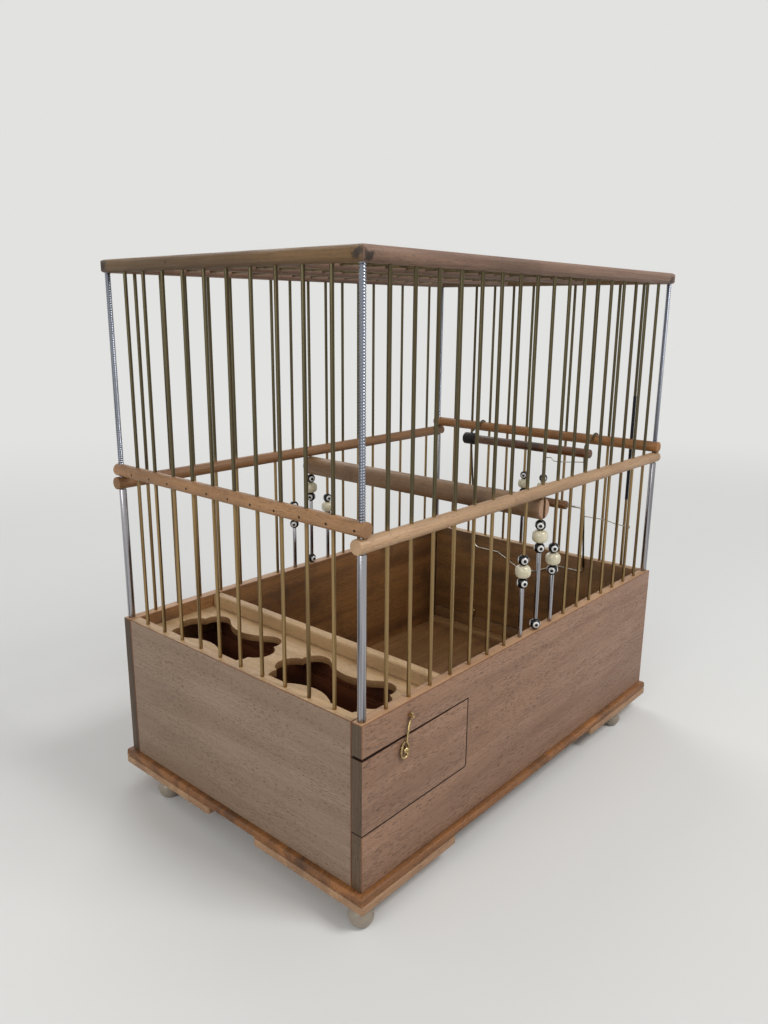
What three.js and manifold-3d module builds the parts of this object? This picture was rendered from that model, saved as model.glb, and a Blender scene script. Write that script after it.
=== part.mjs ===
// A small canary breeding cage: a beech box with a feed drawer and a sand tray, four threaded corner posts,
// dowel rails, brass wires, a perch that is held up by stacks of beads, and a hanging wire frame at one end.
// Millimetres. X runs along the long front side, -Y is the front, +Z is up, and the feet stand on z = 0.
import * as THREE from "three";
import { mergeVertices } from "three/addons/utils/BufferGeometryUtils.js";
import Module from "manifold-3d";

const wasm = await Module();
wasm.setup();

// ---- Driving dimensions ----
const postSpanX = 300; // corner post to corner post along the front
const postSpanY = 190; // corner post to corner post along an end
const longWires = 17; // wires in the front, the back and the roof
const endWires = 10; // wires in each end
const wireD = 2;
const postD = 3.2;
const sleeveD = 4.4; // smooth tube over the lower part of each post
const dowelD = 7.2; // rails
const stringerD = 6; // the two lengthwise dowels under the roof wires
const boardT = 6.8;
const boardH = 88;
const baseT = 4.5;
const baseReach = 3.2; // how far the base board stands out past the boards
const baseRound = 1.5; // rounded upper edge of the base board
const padT = 4.4;
const padWidth = 22;
const padLegLeft = 75; // along the long sides, at the feed end
const padLegRight = 84; // along the long sides, at the tray end
const padLegFront = 80; // along the ends, at the front
const padLegBack = 84; // along the ends, at the back
const footH = 11.1;
const footD = 13.4;
const footFlatDeg = 56; // on the side of the ball, from its middle to the flats above and below
const footInset = 6.8; // axis of a foot to the nearest edge of the base board
const footFromRight = 40.8; // axes of the right feet to the right edge
const footFromBack = 35.6; // axis of the back left foot to the back edge
const roofRise = 200; // box top to the underside of the roof rails
const railRise = 83.3; // box top to the axis of the long middle rails
const railPastPost = 4; // long rails reach past the posts
const endRailPastPost = 3.2; // end rails reach past the posts
const dowelRound = 0.6; // eased ends of a dowel
const wireSeat = 9; // depth of a wire in its board
const postSeat = 11; // depth of a post in its board
const roofSeat = 2.8; // depth of wires and posts in the roof rails
const seam = 0.2; // between pieces that are glued or rest on each other
const fit = 0.25; // round a wire or post in its hole, on the radius
const slide = 0.4; // round a drawer or tray
const over = 1; // how far a cutting tool runs past the face it cuts

// feed end
const deckDrop = 8; // deck below the box top
const deckT = 4;
const battenWidth = 6.6; // batten and partition between the feed end and the cabin
const deckReach = 61.4; // left end board to the cabin side of the batten
const holeMargin = 7.6; // deck left outside the two cloud-shaped feed holes
const holeLobeR = 8.7; // the side lobes
const holeTipR = 10; // the end lobes
const holeLobeOut = 11.5; // side lobe centre from the long axis
const holeLobeBack = 15.5; // side lobe centre from the tip
const holeWaist = 22; // width in the middle
const holeGap = 10; // and between them
const drawerDrop = 17; // top of the drawer front below the box top
const drawerH = 40.4;
const drawerLip = 21; // the drawer front laps over the front board past the partition
const drawerWallT = 3;
const drawerWallH = 33;
const shelfT = 4;

// tray end
const trayFrontH = 14.8;
const trayFloorT = 2;
const trayBattenWidth = 9;
const trayBattenT = 3.2;

// hooks
const hookWireD = 1.6;
const hookPlay = 0.35; // crook round its pin
const hookRingX = 2.5; // half width of the ring, to the middle of the wire
const hookRingZ = 4.2; // half height of the ring
const latchPinD = 1.8;
const latchPinOut = 3.4; // how far a pin stands out of the board
const latchSeat = 5; // depth of pins and screws in the wood
const latchRun = 3.8; // pin to the right of the screw
const latchRise = 16.5; // pin above the screw
const latchPinMargin = 7.2; // drawer pin below the top of the front board
const drawerPinToWire = 3.7; // drawer pin to the second wire of the front
const trayPinToWire = 6; // tray pin to the third wire from the back of the end
const ringFromDeg = 130; // the ring of a hook; it is left a little open
const ringToDeg = 400;
const crookFromDeg = -90; // the crook goes round the pin from below
const crookToDeg = 105;
const screwD = 2.4;
const screwHeadD = 4.8;
const screwHeadT = 1.6;
const endPinDrop = 5.2; // spare pin below the top of the right end board

// perch and beads
const perchD = 12.8;
const perchPastWire = 1.8; // perch end past the middle of the wire
const tubeD = 3.4; // spacer tube under the beads
const eyeD = 6;
const eyeH = 6.2;
const barrelD = 9;
const barrelH = 7.3;
const beadRound = 1.4;
const sideTubeL = 29.4; // tube under the outer stacks at the front and back
const endTubeL = 39.3; // tube under the stacks at the right end

// hanging frame
const frameWireD = 1.5;
const rungD = 6.6;
const rungPast = 4.8; // rung end past its leg
const frameLegY = 50; // legs from the middle of the end
const frameFoot = 10.4; // lowest corner below the box top
const frameBend = 4; // radius of the lower corners
const hangerFromDeg = -25; // the hanger goes over the rail from outside to inside
const hangerToDeg = 155;
const frameLegUp = 5.3; // straight leg above the upper rung's axis
const frameLegDown = 4; // and below it
const frameDip = 9; // the dip in the middle of the foot
const frameDipOut = 27; // where the slope into the dip starts, from the middle
const frameDipIn = 8; // where it ends
const upperRungRise = 82.4;
const upperRungIn = 15; // upper rung in from the end wires
const lowerRungRise = 40.5;
const lowerRungHalf = 36; // half length of the wooden part of the lower rung
const capL = 10;
const capWall = 1;

// number of sides of round pieces
const wireSides = 6;
const postSides = 10;
const dowelSides = 12;
const beadSides = 10;
const footSides = 14;
const headSides = 10;
const holeSides = 20;

// ---- Places that follow ----
const halfX = postSpanX / 2;
const halfY = postSpanY / 2;
const outerX = halfX + boardT / 2;
const outerY = halfY + boardT / 2;
const innerX = halfX - boardT / 2;
const innerY = halfY - boardT / 2;
const edgeX = outerX + baseReach;
const edgeY = outerY + baseReach;
const padZ = footH + seam;
const baseZ = padZ + padT + seam;
const boxZ = baseZ + baseT + seam;
const boxTop = boxZ + boardH;
const roofUnder = boxTop + roofRise;
const roofZ = roofUnder + dowelD / 2;
const longRailZ = boxTop + railRise;
const endRailZ = longRailZ + dowelD + seam;
const pitchX = postSpanX / (longWires + 1);
const pitchY = postSpanY / (endWires + 1);
const deckZ = boxTop - deckDrop;
const holeLength = innerY - holeMargin - holeGap / 2;
const deckEndX = deckReach - innerX;
const partitionX = deckEndX - battenWidth;
const drawerTopZ = boxTop - drawerDrop;
const drawerBottomZ = drawerTopZ - drawerH;
const lipX = partitionX + drawerLip;
const trayTopZ = boxZ + slide + trayFrontH;

// ---- Materials ----
const paint = (color, roughness, metalness = 0) => new THREE.MeshStandardMaterial({ color, roughness, metalness });
const beech = paint(0xb98e70, 0.6);
const paleBeech = paint(0xd2ac82, 0.6);
const rodBeech = paint(0xb98a5c, 0.55);
const darkRung = paint(0x4a2f22, 0.6);
const brass = paint(0xb59a5c, 0.35, 1);
const steel = paint(0xc4c6ca, 0.3, 1);
const cream = paint(0xe6e0cf, 0.45);
const rubber = paint(0x1c1c1c, 0.8);
const beadIvory = paint(0xece4cc, 0.3);

// ---- Solids ----
function solid(geometry) {
  geometry.deleteAttribute("normal");
  geometry.deleteAttribute("uv");
  const merged = mergeVertices(geometry, 1e-4);
  const vertProperties = merged.attributes.position.array;
  const triVerts = Uint32Array.from(merged.index.array);
  return new wasm.Manifold(new wasm.Mesh({ numProp: 3, vertProperties, triVerts }));
}

function geometryOf(body) {
  const mesh = body.getMesh();
  const geometry = new THREE.BufferGeometry();
  geometry.setAttribute("position", new THREE.BufferAttribute(Float32Array.from(mesh.vertProperties), 3));
  geometry.setIndex(new THREE.BufferAttribute(Uint32Array.from(mesh.triVerts), 1));
  const flat = geometry.toNonIndexed();
  flat.computeVertexNormals();
  return flat;
}

const group = new THREE.Group();

function part(name, body, material, parent = group) {
  const mesh = new THREE.Mesh(geometryOf(body), material);
  mesh.name = name;
  parent.add(mesh);
  return mesh;
}

const joined = (bodies) => bodies.reduce((whole, body) => whole.add(body));
const cut = (body, tools) => tools.reduce((rest, tool) => rest.subtract(tool), body);

function block(x, y, z) {
  const box = new THREE.BoxGeometry(x[1] - x[0], y[1] - y[0], z[1] - z[0]);
  box.translate((x[0] + x[1]) / 2, (y[0] + y[1]) / 2, (z[0] + z[1]) / 2);
  return solid(box);
}

function plate(shape, z0, thickness) {
  const flat = new THREE.ExtrudeGeometry(shape, { depth: thickness, bevelEnabled: false, curveSegments: 8 });
  flat.translate(0, 0, z0);
  return solid(flat);
}

// a profile of [radius, height] pairs turned about the Z axis
function turned(profile, sides) {
  const lathe = new THREE.LatheGeometry(profile.map(([r, z]) => new THREE.Vector2(r, z)), sides);
  lathe.rotateX(Math.PI / 2);
  return lathe;
}

// the same, laid from one point towards another
function turnedAlong(profile, sides, from, to) {
  const lathe = turned(profile, sides);
  const along = new THREE.Vector3().subVectors(to, from).normalize();
  lathe.applyQuaternion(new THREE.Quaternion().setFromUnitVectors(new THREE.Vector3(0, 0, 1), along));
  lathe.translate(from.x, from.y, from.z);
  return solid(lathe);
}

const at = (x, y, z) => new THREE.Vector3(x, y, z);

function rod(from, to, radius, sides = wireSides) {
  const length = from.distanceTo(to);
  return turnedAlong([[0, 0], [radius, 0], [radius, length], [0, length]], sides, from, to);
}

function dowel(from, to, radius, sides = dowelSides) {
  const length = from.distanceTo(to);
  const end = radius - dowelRound;
  const profile = [[0, 0], [end, 0], [radius, dowelRound], [radius, length - dowelRound], [end, length], [0, length]];
  return turnedAlong(profile, sides, from, to);
}

// a path that turns at its points and runs straight between them
class BentPath extends THREE.Curve {
  constructor(points) {
    super();
    this.points = points;
  }

  getPoint(t) {
    return this.points[Math.round(t * (this.points.length - 1))].clone();
  }

  getSpacedPoints(steps) {
    return this.getPoints(steps);
  }

  getTangentAt(t) {
    const last = this.points.length - 1;
    const i = Math.round(t * last);
    const before = this.points[Math.max(i - 1, 0)];
    const after = this.points[Math.min(i + 1, last)];
    return new THREE.Vector3().subVectors(after, before).normalize();
  }
}

function bentWire(points, radius, sides = wireSides) {
  const section = new THREE.Shape();
  for (let i = 0; i < sides; i++) {
    const turn = (2 * Math.PI * i) / sides;
    section[i ? "lineTo" : "moveTo"](radius * Math.cos(turn), radius * Math.sin(turn));
  }
  const extrudePath = new BentPath(points);
  return solid(new THREE.ExtrudeGeometry(section, { steps: points.length - 1, extrudePath, bevelEnabled: false }));
}

// points on an arc, from one angle to another in degrees; place turns a cosine and a sine into a point
function arc(from, to, steps, place) {
  return Array.from({ length: steps + 1 }, (_, i) => {
    const turn = ((from + ((to - from) * i) / steps) * Math.PI) / 180;
    return place(Math.cos(turn), Math.sin(turn));
  });
}

// ---- Places that repeat ----
const corners = [
  { name: "front_left", sx: -1, sy: -1, legX: padLegLeft, legY: padLegFront, footX: footInset, footY: footInset },
  { name: "front_right", sx: 1, sy: -1, legX: padLegRight, legY: padLegFront, footX: footFromRight, footY: footInset },
  { name: "back_left", sx: -1, sy: 1, legX: padLegLeft, legY: padLegBack, footX: footInset, footY: footFromBack },
  { name: "back_right", sx: 1, sy: 1, legX: padLegRight, legY: padLegBack, footX: footFromRight, footY: footInset },
];
const count = (n) => Array.from({ length: n }, (_, i) => i + 1);
const longWireX = count(longWires).map((i) => i * pitchX - halfX);
const endWireY = count(endWires).map((i) => i * pitchY - halfY);
const middleWire = Math.ceil(longWires / 2) - 1;

// holes for upright wires and posts, bored down from z1 to z0
const bores = (places, diameter, z0, z1, sides) =>
  places.map(([x, y]) => rod(at(x, y, z0), at(x, y, z1), diameter / 2 + fit, sides));
const longSide = (y) => longWireX.map((x) => [x, y]);
const shortSide = (x) => endWireY.map((y) => [x, y]);
const posts = corners.map((corner) => [corner.sx * halfX, corner.sy * halfY]);
const overBox = boxTop + over;
const boxBores = (wires) => [
  ...bores(wires, wireD, boxTop - wireSeat - fit, overBox, wireSides),
  ...bores(posts, postD, boxTop - postSeat - fit, overBox, postSides),
];

// ---- Feet, pads and base board ----
function foot() {
  const r = footD / 2;
  const half = footH / 2;
  const flat = Math.sin((footFlatDeg * Math.PI) / 180);
  const ball = arc(-footFlatDeg, footFlatDeg, 8, (c, s) => [r * c, half + (half * s) / flat]);
  return solid(turned([[0, 0], ...ball, [0, footH]], footSides));
}

// an L drawn from the outer corner inwards, then turned to its own corner
function cornerPad({ sx, sy, legX, legY }) {
  const r = padT / 2;
  const shape = new THREE.Shape();
  shape.moveTo(0, 0);
  shape.lineTo(legX - r, 0);
  shape.quadraticCurveTo(legX, 0, legX, r);
  shape.lineTo(legX, padWidth - r);
  shape.quadraticCurveTo(legX, padWidth, legX - r, padWidth);
  shape.lineTo(padWidth, padWidth);
  shape.lineTo(padWidth, legY - r);
  shape.quadraticCurveTo(padWidth, legY, padWidth - r, legY);
  shape.lineTo(r, legY);
  shape.quadraticCurveTo(0, legY, 0, legY - r);
  shape.closePath();
  return plate(shape, padZ, padT).scale([-sx, -sy, 1]).translate([sx * edgeX, sy * edgeY, 0]);
}

function baseBoard() {
  const shape = new THREE.Shape();
  const x = edgeX - baseRound;
  const y = edgeY - baseRound;
  shape.moveTo(-x, -y);
  shape.lineTo(x, -y);
  shape.lineTo(x, y);
  shape.lineTo(-x, y);
  shape.closePath();
  const options = { depth: baseT - 2 * baseRound, bevelThickness: baseRound, bevelSize: baseRound, bevelSegments: 3 };
  const slab = new THREE.ExtrudeGeometry(shape, options);
  slab.translate(0, 0, baseZ + baseRound);
  return solid(slab);
}

for (const corner of corners) {
  const { name, sx, sy, footX, footY } = corner;
  part(`foot_${name}`, foot(), cream).position.set(sx * (edgeX - footX), sy * (edgeY - footY), 0);
  part(`corner_pad_${name}`, cornerPad(corner), beech);
}
part("base_board", baseBoard(), beech);

// ---- Boards of the box ----
const wall = [boxZ, boxTop];

function frontBoard() {
  const board = block([-outerX, outerX], [-outerY, -innerY], wall);
  const past = -outerX - over;
  const throughZ = [drawerBottomZ, drawerTopZ];
  const through = block([past, partitionX - seam], [-outerY - over, -innerY + over], throughZ);
  const rebate = block([past, lipX], [-outerY - over, -halfY], throughZ);
  return cut(board, [through, rebate, ...boxBores(longSide(-halfY)), drawerPinBore]);
}

// ---- Hooks: drawn at the screw, with the board behind them in the XZ plane ----
const hookOut = seam + hookWireD / 2;
const crookR = latchPinD / 2 + hookPlay + hookWireD / 2;

function hook() {
  const ring = arc(ringFromDeg, ringToDeg, 12, (c, s) => at(hookRingX * c, -hookOut, hookRingZ * s));
  const crook = arc(crookFromDeg, crookToDeg, 7, (c, s) => at(latchRun + crookR * c, -hookOut, latchRise + crookR * s));
  const shank = at(latchRun / 2, -hookOut, latchRise / 2);
  return bentWire([...ring, shank, ...crook], hookWireD / 2);
}

function screw() {
  const r = screwD / 2;
  const neck = latchSeat + hookOut + hookWireD / 2 + seam;
  const dome = arc(0, 90, 3, (c, s) => [(screwHeadD / 2) * c, neck + screwHeadT * s]);
  return turnedAlong([[0, 0], [r, 0], [r, neck], ...dome], headSides, at(0, latchSeat, 0), at(0, 0, 0));
}

const latchPin = () => rod(at(0, latchSeat, 0), at(0, -latchPinOut, 0), latchPinD / 2);

// a place on a face: the group turns the hook's own frame onto that face
function face(x, y, z, turn) {
  const place = new THREE.Group();
  place.position.set(x, y, z);
  place.rotation.z = turn;
  group.add(place);
  return place;
}

const drawerPinX = longWireX[1] - drawerPinToWire;
const drawerPinZ = boxTop - latchPinMargin;
const drawerScrewX = drawerPinX - latchRun;
const drawerScrewZ = drawerPinZ - latchRise;
const trayScrewZ = boxZ + slide + trayFrontH / 2;
const trayPinY = endWireY[endWires - 3] - trayPinToWire;
const trayLatchY = trayPinY - latchRun;
const trayPinZ = trayScrewZ + latchRise;
const endPinZ = boxTop - endPinDrop;

// a bore into the wood at a point of its face, towards (dx, dy)
const seatBore = (x, y, z, dx, dy, diameter, sides) => {
  const depth = latchSeat + fit;
  const bottom = at(x + dx * depth, y + dy * depth, z);
  return rod(bottom, at(x - dx * over, y - dy * over, z), diameter / 2 + fit, sides);
};
const drawerPinBore = seatBore(drawerPinX, -outerY, drawerPinZ, 0, 1, latchPinD, wireSides);
const endBoardBores = [trayPinZ, endPinZ].map((z) => seatBore(outerX, trayPinY, z, -1, 0, latchPinD, wireSides));

part("front_board", frontBoard(), beech);
const backBoard = block([-outerX, outerX], [innerY, outerY], wall);
part("back_board", cut(backBoard, boxBores(longSide(halfY))), beech);
const endY = [seam - innerY, innerY - seam];
const leftEnd = block([-outerX, -innerX], endY, wall);
part("left_end_board", cut(leftEnd, boxBores(shortSide(-halfX))), beech);
const rightEnd = block([innerX, outerX], endY, [trayTopZ + slide, boxTop]);
part("right_end_board", cut(rightEnd, [...boxBores(shortSide(halfX)), ...endBoardBores]), beech);

// ---- Feed end: deck with two cloud-shaped holes, batten, partition and drawer shelf ----
function cloudHole(x, y) {
  const tools = [];
  const tipY = holeLength / 2 - holeTipR;
  const lobeY = holeLength / 2 - holeLobeBack;
  const z = [deckZ - deckT - over, deckZ + over];
  const disc = (dx, dy, r) => rod(at(x + dx, y + dy, z[0]), at(x + dx, y + dy, z[1]), r, holeSides);
  for (const end of [-1, 1]) {
    tools.push(disc(0, end * tipY, holeTipR));
    tools.push(disc(-holeLobeOut, end * lobeY, holeLobeR));
    tools.push(disc(holeLobeOut, end * lobeY, holeLobeR));
  }
  // the waist is drawn in with one curve on each side, from a point on the rim of each side lobe
  const [across, along] = [0.8, 0.6];
  const wide = holeLobeOut + holeLobeR * across;
  const shoulder = lobeY - holeLobeR * along;
  const waist = new THREE.Shape();
  waist.moveTo(x - wide, y - shoulder);
  waist.lineTo(x - holeLobeOut, y - lobeY);
  waist.lineTo(x + holeLobeOut, y - lobeY);
  waist.lineTo(x + wide, y - shoulder);
  waist.quadraticCurveTo(x + holeWaist - wide, y, x + wide, y + shoulder);
  waist.lineTo(x + holeLobeOut, y + lobeY);
  waist.lineTo(x - holeLobeOut, y + lobeY);
  waist.lineTo(x - wide, y + shoulder);
  waist.quadraticCurveTo(x - holeWaist + wide, y, x - wide, y - shoulder);
  tools.push(plate(waist, z[0], z[1] - z[0]));
  return joined(tools);
}

const holeX = (partitionX - innerX) / 2;
const holeY = (holeLength + holeGap) / 2;
const deckSlab = block([seam - innerX, deckEndX], endY, [deckZ - deckT, deckZ]);
part("feed_deck", cut(deckSlab, [cloudHole(holeX, -holeY), cloudHole(holeX, holeY)]), paleBeech);

function battenBody() {
  const bar = new THREE.Shape();
  const r = battenWidth / 4;
  const top = deckDrop;
  bar.moveTo(0, seam);
  bar.lineTo(battenWidth, seam);
  bar.lineTo(battenWidth, top - r);
  bar.quadraticCurveTo(battenWidth, top, battenWidth - r, top);
  bar.lineTo(r, top);
  bar.quadraticCurveTo(0, top, 0, top - r);
  bar.closePath();
  const depth = endY[1] - endY[0];
  const strip = new THREE.ExtrudeGeometry(bar, { depth, bevelEnabled: false, curveSegments: 4 });
  strip.rotateX(Math.PI / 2);
  strip.translate(partitionX, endY[1], deckZ);
  return solid(strip);
}

part("deck_batten", battenBody(), paleBeech);
const underDeck = deckZ - deckT - seam;
part("feed_partition", block([partitionX, deckEndX], endY, [boxZ + seam, underDeck]), beech);
const shelfTop = drawerBottomZ;
const shelfX = [seam - innerX, partitionX - seam];
part("drawer_shelf", block(shelfX, endY, [shelfTop - shelfT, shelfTop - seam]), paleBeech);

// ---- Feed drawer ----
function drawerFront() {
  const z = [drawerBottomZ + slide, drawerTopZ - slide];
  const lip = block([-outerX, lipX - slide], [-outerY, -halfY - slide], z);
  const core = block([-outerX, partitionX - seam - slide], [-outerY, -innerY], z);
  return cut(joined([lip, core]), [seatBore(drawerScrewX, -outerY, drawerScrewZ, 0, 1, screwD, headSides)]);
}

function drawerTray() {
  const x = [slide - innerX, partitionX - slide * 2];
  const y = [seam - innerY, innerY - slide * 2];
  const z = [drawerBottomZ + slide, drawerBottomZ + slide + drawerWallH];
  const inside = block(
    [x[0] + drawerWallT, x[1] - drawerWallT],
    [y[0] + drawerWallT, y[1] - drawerWallT],
    [z[0] + drawerWallT, z[1] + over],
  );
  return cut(block(x, y, z), [inside]);
}

part("drawer_front", drawerFront(), beech);
part("drawer_tray", drawerTray(), paleBeech);

// ---- Sand tray ----
const trayX = [deckEndX + slide, innerX - seam];
const trayY = [slide - innerY, innerY - slide];
const trayZ = boxZ + slide;
const trayFloorZ = trayZ + trayFloorT;
const trayFront = block([innerX, outerX], trayY, [trayZ, trayTopZ]);
const trayScrewBore = seatBore(outerX, trayLatchY, trayScrewZ, -1, 0, screwD, headSides);
part("tray_front", cut(trayFront, [trayScrewBore]), beech);
part("tray_floor", block(trayX, trayY, [trayZ, trayFloorZ]), paleBeech);
const battenX = [innerX - seam - trayBattenWidth, innerX - seam];
const battenZ = [trayFloorZ + seam, trayFloorZ + seam + trayBattenT];
part("tray_batten", block(battenX, trayY, battenZ), paleBeech);

// ---- Hooks, screws and pins ----
const drawerPlace = face(drawerScrewX, -outerY, drawerScrewZ, 0);
part("drawer_latch_hook", hook(), brass, drawerPlace);
part("drawer_latch_screw", screw(), brass, drawerPlace);
part("drawer_latch_pin", latchPin(), brass, face(drawerPinX, -outerY, drawerPinZ, 0));
const trayPlace = face(outerX, trayLatchY, trayScrewZ, Math.PI / 2);
part("tray_latch_hook", hook(), brass, trayPlace);
part("tray_latch_screw", screw(), brass, trayPlace);
part("tray_latch_pin", latchPin(), brass, face(outerX, trayPinY, trayPinZ, Math.PI / 2));
part("end_board_pin", latchPin(), brass, face(outerX, trayPinY, endPinZ, Math.PI / 2));

// ---- Corner posts and sleeves ----
const sleeveTop = longRailZ - dowelD / 2 - seam;
const sleeveBoreR = postD / 2 + fit;
for (const { name, sx, sy } of corners) {
  const [x, y] = [sx * halfX, sy * halfY];
  const post = rod(at(x, y, boxTop - postSeat), at(x, y, roofUnder + roofSeat), postD / 2, postSides);
  part(`corner_post_${name}`, post, steel);
  const length = sleeveTop - boxTop - seam;
  const r = sleeveD / 2;
  const ring = [[sleeveBoreR, 0], [r, 0], [r, length], [sleeveBoreR, length], [sleeveBoreR, 0]];
  part(`post_sleeve_${name}`, solid(turned(ring, postSides)), steel).position.set(x, y, boxTop + seam);
}

// ---- Roof: four mitred rails, two stringers and the roof wires ----
const roofWireEnd = halfY - dowelD / 4;
const roofWires = (radius, past) =>
  longWireX.map((x) => rod(at(x, -roofWireEnd - past, roofZ), at(x, roofWireEnd + past, roofZ), radius));

// keeps what lies between the two mitres; the outline runs along X and is mirrored for the other side
function mitred(body, lengthwise, side) {
  const [far, near] = lengthwise ? [halfX, halfY] : [halfY, halfX];
  const half = dowelD / 2 + over;
  const point = (a, b) => (lengthwise ? [a, side * b] : [side * b, a]);
  const outline = [
    point(-far - half + seam, near + half),
    point(far + half - seam, near + half),
    point(far - half - seam, near - half),
    point(-far + half + seam, near - half),
  ];
  const shape = new THREE.Shape(outline.map(([x, y]) => new THREE.Vector2(x, y)));
  return body.intersect(plate(shape, roofUnder - over, dowelD + 2 * over));
}

function roofRail(lengthwise, side) {
  const r = dowelD / 2;
  const reach = (lengthwise ? halfX : halfY) + r;
  const from = lengthwise ? at(-reach, side * halfY, roofZ) : at(side * halfX, -reach, roofZ);
  const to = lengthwise ? at(reach, side * halfY, roofZ) : at(side * halfX, reach, roofZ);
  const wires = lengthwise ? longSide(side * halfY) : shortSide(side * halfX);
  const tools = [
    ...bores(wires, wireD, roofUnder - over, roofUnder + roofSeat + fit, wireSides),
    ...bores(posts, postD, roofUnder - over, roofUnder + roofSeat + fit, postSides),
  ];
  if (lengthwise) tools.push(...roofWires(wireD / 2 + fit, fit));
  return cut(mitred(rod(from, to, r, dowelSides), lengthwise, side), tools);
}

part("roof_rail_front", roofRail(true, -1), rodBeech);
part("roof_rail_back", roofRail(true, 1), rodBeech);
part("roof_rail_left", roofRail(false, -1), rodBeech);
part("roof_rail_right", roofRail(false, 1), rodBeech);

const stringerEnd = halfX - dowelD / 2 - seam;
const stringers = [-1, 1].map((side) => {
  const y = (side * halfY) / 3;
  return rod(at(-stringerEnd, y, roofZ), at(stringerEnd, y, roofZ), stringerD / 2, dowelSides);
});
part("roof_grille", joined([...stringers, ...roofWires(wireD / 2, 0)]), brass);

// ---- Side grilles: a rail with the wires through it ----
const uprights = (places) =>
  places.map(([x, y]) => rod(at(x, y, boxTop - wireSeat), at(x, y, roofUnder + roofSeat), wireD / 2));

function grille(lengthwise, side) {
  const reach = lengthwise ? halfX + railPastPost : halfY + endRailPastPost;
  const z = lengthwise ? longRailZ : endRailZ;
  const from = lengthwise ? at(-reach, side * halfY, z) : at(side * halfX, -reach, z);
  const to = lengthwise ? at(reach, side * halfY, z) : at(side * halfX, reach, z);
  const rail = cut(dowel(from, to, dowelD / 2), bores(posts, postD, z - dowelD, z + dowelD, postSides));
  const wires = lengthwise ? longSide(side * halfY) : shortSide(side * halfX);
  return joined([rail, ...uprights(wires)]);
}

part("front_grille", grille(true, -1), brass);
part("back_grille", grille(true, 1), brass);
part("left_grille", grille(false, -1), brass);
part("right_grille", grille(false, 1), brass);

// ---- Main perch ----
const perchZ = longRailZ - dowelD / 2 - seam - perchD / 2;
const perchX = longWireX[middleWire];

function perch() {
  const reach = halfY + perchPastWire;
  const bar = dowel(at(perchX, -reach, perchZ), at(perchX, reach, perchZ), perchD / 2);
  const half = wireD / 2 + fit;
  const slots = [-1, 1].map((side) => {
    const y = side < 0 ? [-reach - over, -halfY + half] : [halfY - half, reach + over];
    return block([perchX - half, perchX + half], y, [perchZ - perchD, perchZ + perchD]);
  });
  return cut(bar, slots);
}

part("main_perch", perch(), rodBeech);

// ---- Stacks of beads on the wires ----
// outlines of one bead, bottom to top, as [radius, height]
function beadOutline(z, diameter, height) {
  const r = diameter / 2;
  const ease = Math.min(beadRound, height / 3);
  return [
    [r - ease, z],
    [r, z + ease],
    [r, z + height - ease],
    [r - ease, z + height],
  ];
}

// tube, then eye bead, barrel bead and eye bead, on a bore that passes the wire
function beadStack(tubeL, footBead) {
  const bore = wireD / 2 + fit;
  const profile = [[bore, 0]];
  let z = 0;
  if (footBead) {
    profile.push(...beadOutline(z, eyeD, eyeH));
    z += eyeH;
  }
  profile.push([tubeD / 2, z], [tubeD / 2, z + tubeL]);
  z += tubeL;
  for (const [diameter, height] of [[eyeD, eyeH], [barrelD, barrelH], [eyeD, eyeH]]) {
    profile.push(...beadOutline(z, diameter, height));
    z += height;
  }
  profile.push([bore, z], [bore, 0]);
  return solid(turned(profile, beadSides));
}

const beadsH = 2 * eyeH + barrelH;
const middleTubeL = perchZ - perchD / 2 - seam - (boxTop + seam) - beadsH - eyeH;

function stack(name, x, y, body) {
  part(`bead_stack_${name}`, body, beadIvory).position.set(x, y, boxTop + seam);
}

for (const [side, y] of [["front", -halfY], ["back", halfY]]) {
  stack(`${side}_left`, longWireX[middleWire - 1], y, beadStack(sideTubeL, false));
  stack(`${side}_middle`, longWireX[middleWire], y, beadStack(middleTubeL, true));
  stack(`${side}_right`, longWireX[middleWire + 1], y, beadStack(sideTubeL, false));
}
const endPair = Math.ceil(endWires / 2) - 1;
stack("end_front", halfX, endWireY[endPair], beadStack(endTubeL, false));
stack("end_back", halfX, endWireY[endPair + 1], beadStack(endTubeL, false));

// ---- Hanging frame: a bent wire hooked over the right end rail, with two rungs ----
const frameR = frameWireD / 2;
const hangR = dowelD / 2 + seam + frameR;
const upperRungX = halfX - upperRungIn;
const upperRungZ = boxTop + upperRungRise;
const lowerRungZ = boxTop + lowerRungRise;
const frameFootX = innerX - seam - frameR;
const frameFootZ = boxTop - frameFoot;
const leanPerMm = (frameFootX - upperRungX) / (upperRungZ - frameFootZ);
const lowerRungX = upperRungX + leanPerMm * (upperRungZ - lowerRungZ);

// hanger over the rail, leg through the upper rung, corner, and the slope down to the middle of the foot
function frameHalf(side) {
  const y = side * frameLegY;
  const hanger = arc(hangerFromDeg, hangerToDeg, 6, (c, s) => at(halfX + hangR * c, y, endRailZ + hangR * s));
  const leg = [at(upperRungX, y, upperRungZ + frameLegUp), at(upperRungX, y, upperRungZ - frameLegDown)];
  const corner = arc(0, 90, 4, (c, s) => {
    const up = frameBend * (1 - s);
    return at(frameFootX - leanPerMm * up, y - side * frameBend * (1 - c), frameFootZ + up);
  });
  const slope = [at(frameFootX, side * frameDipOut, frameFootZ), at(frameFootX, side * frameDipIn, frameFootZ - frameDip)];
  return [...hanger, ...leg, ...corner, ...slope];
}

const framePoints = [...frameHalf(-1), ...frameHalf(1).reverse()];
const frameBore = bentWire(framePoints, frameR + fit);
part("hanging_frame", bentWire(framePoints, frameR), steel);

const upperRungEnd = frameLegY + rungPast;
const upperRung = dowel(at(upperRungX, -upperRungEnd, upperRungZ), at(upperRungX, upperRungEnd, upperRungZ), rungD / 2);
part("upper_rung", cut(upperRung, [frameBore]), darkRung);

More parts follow.
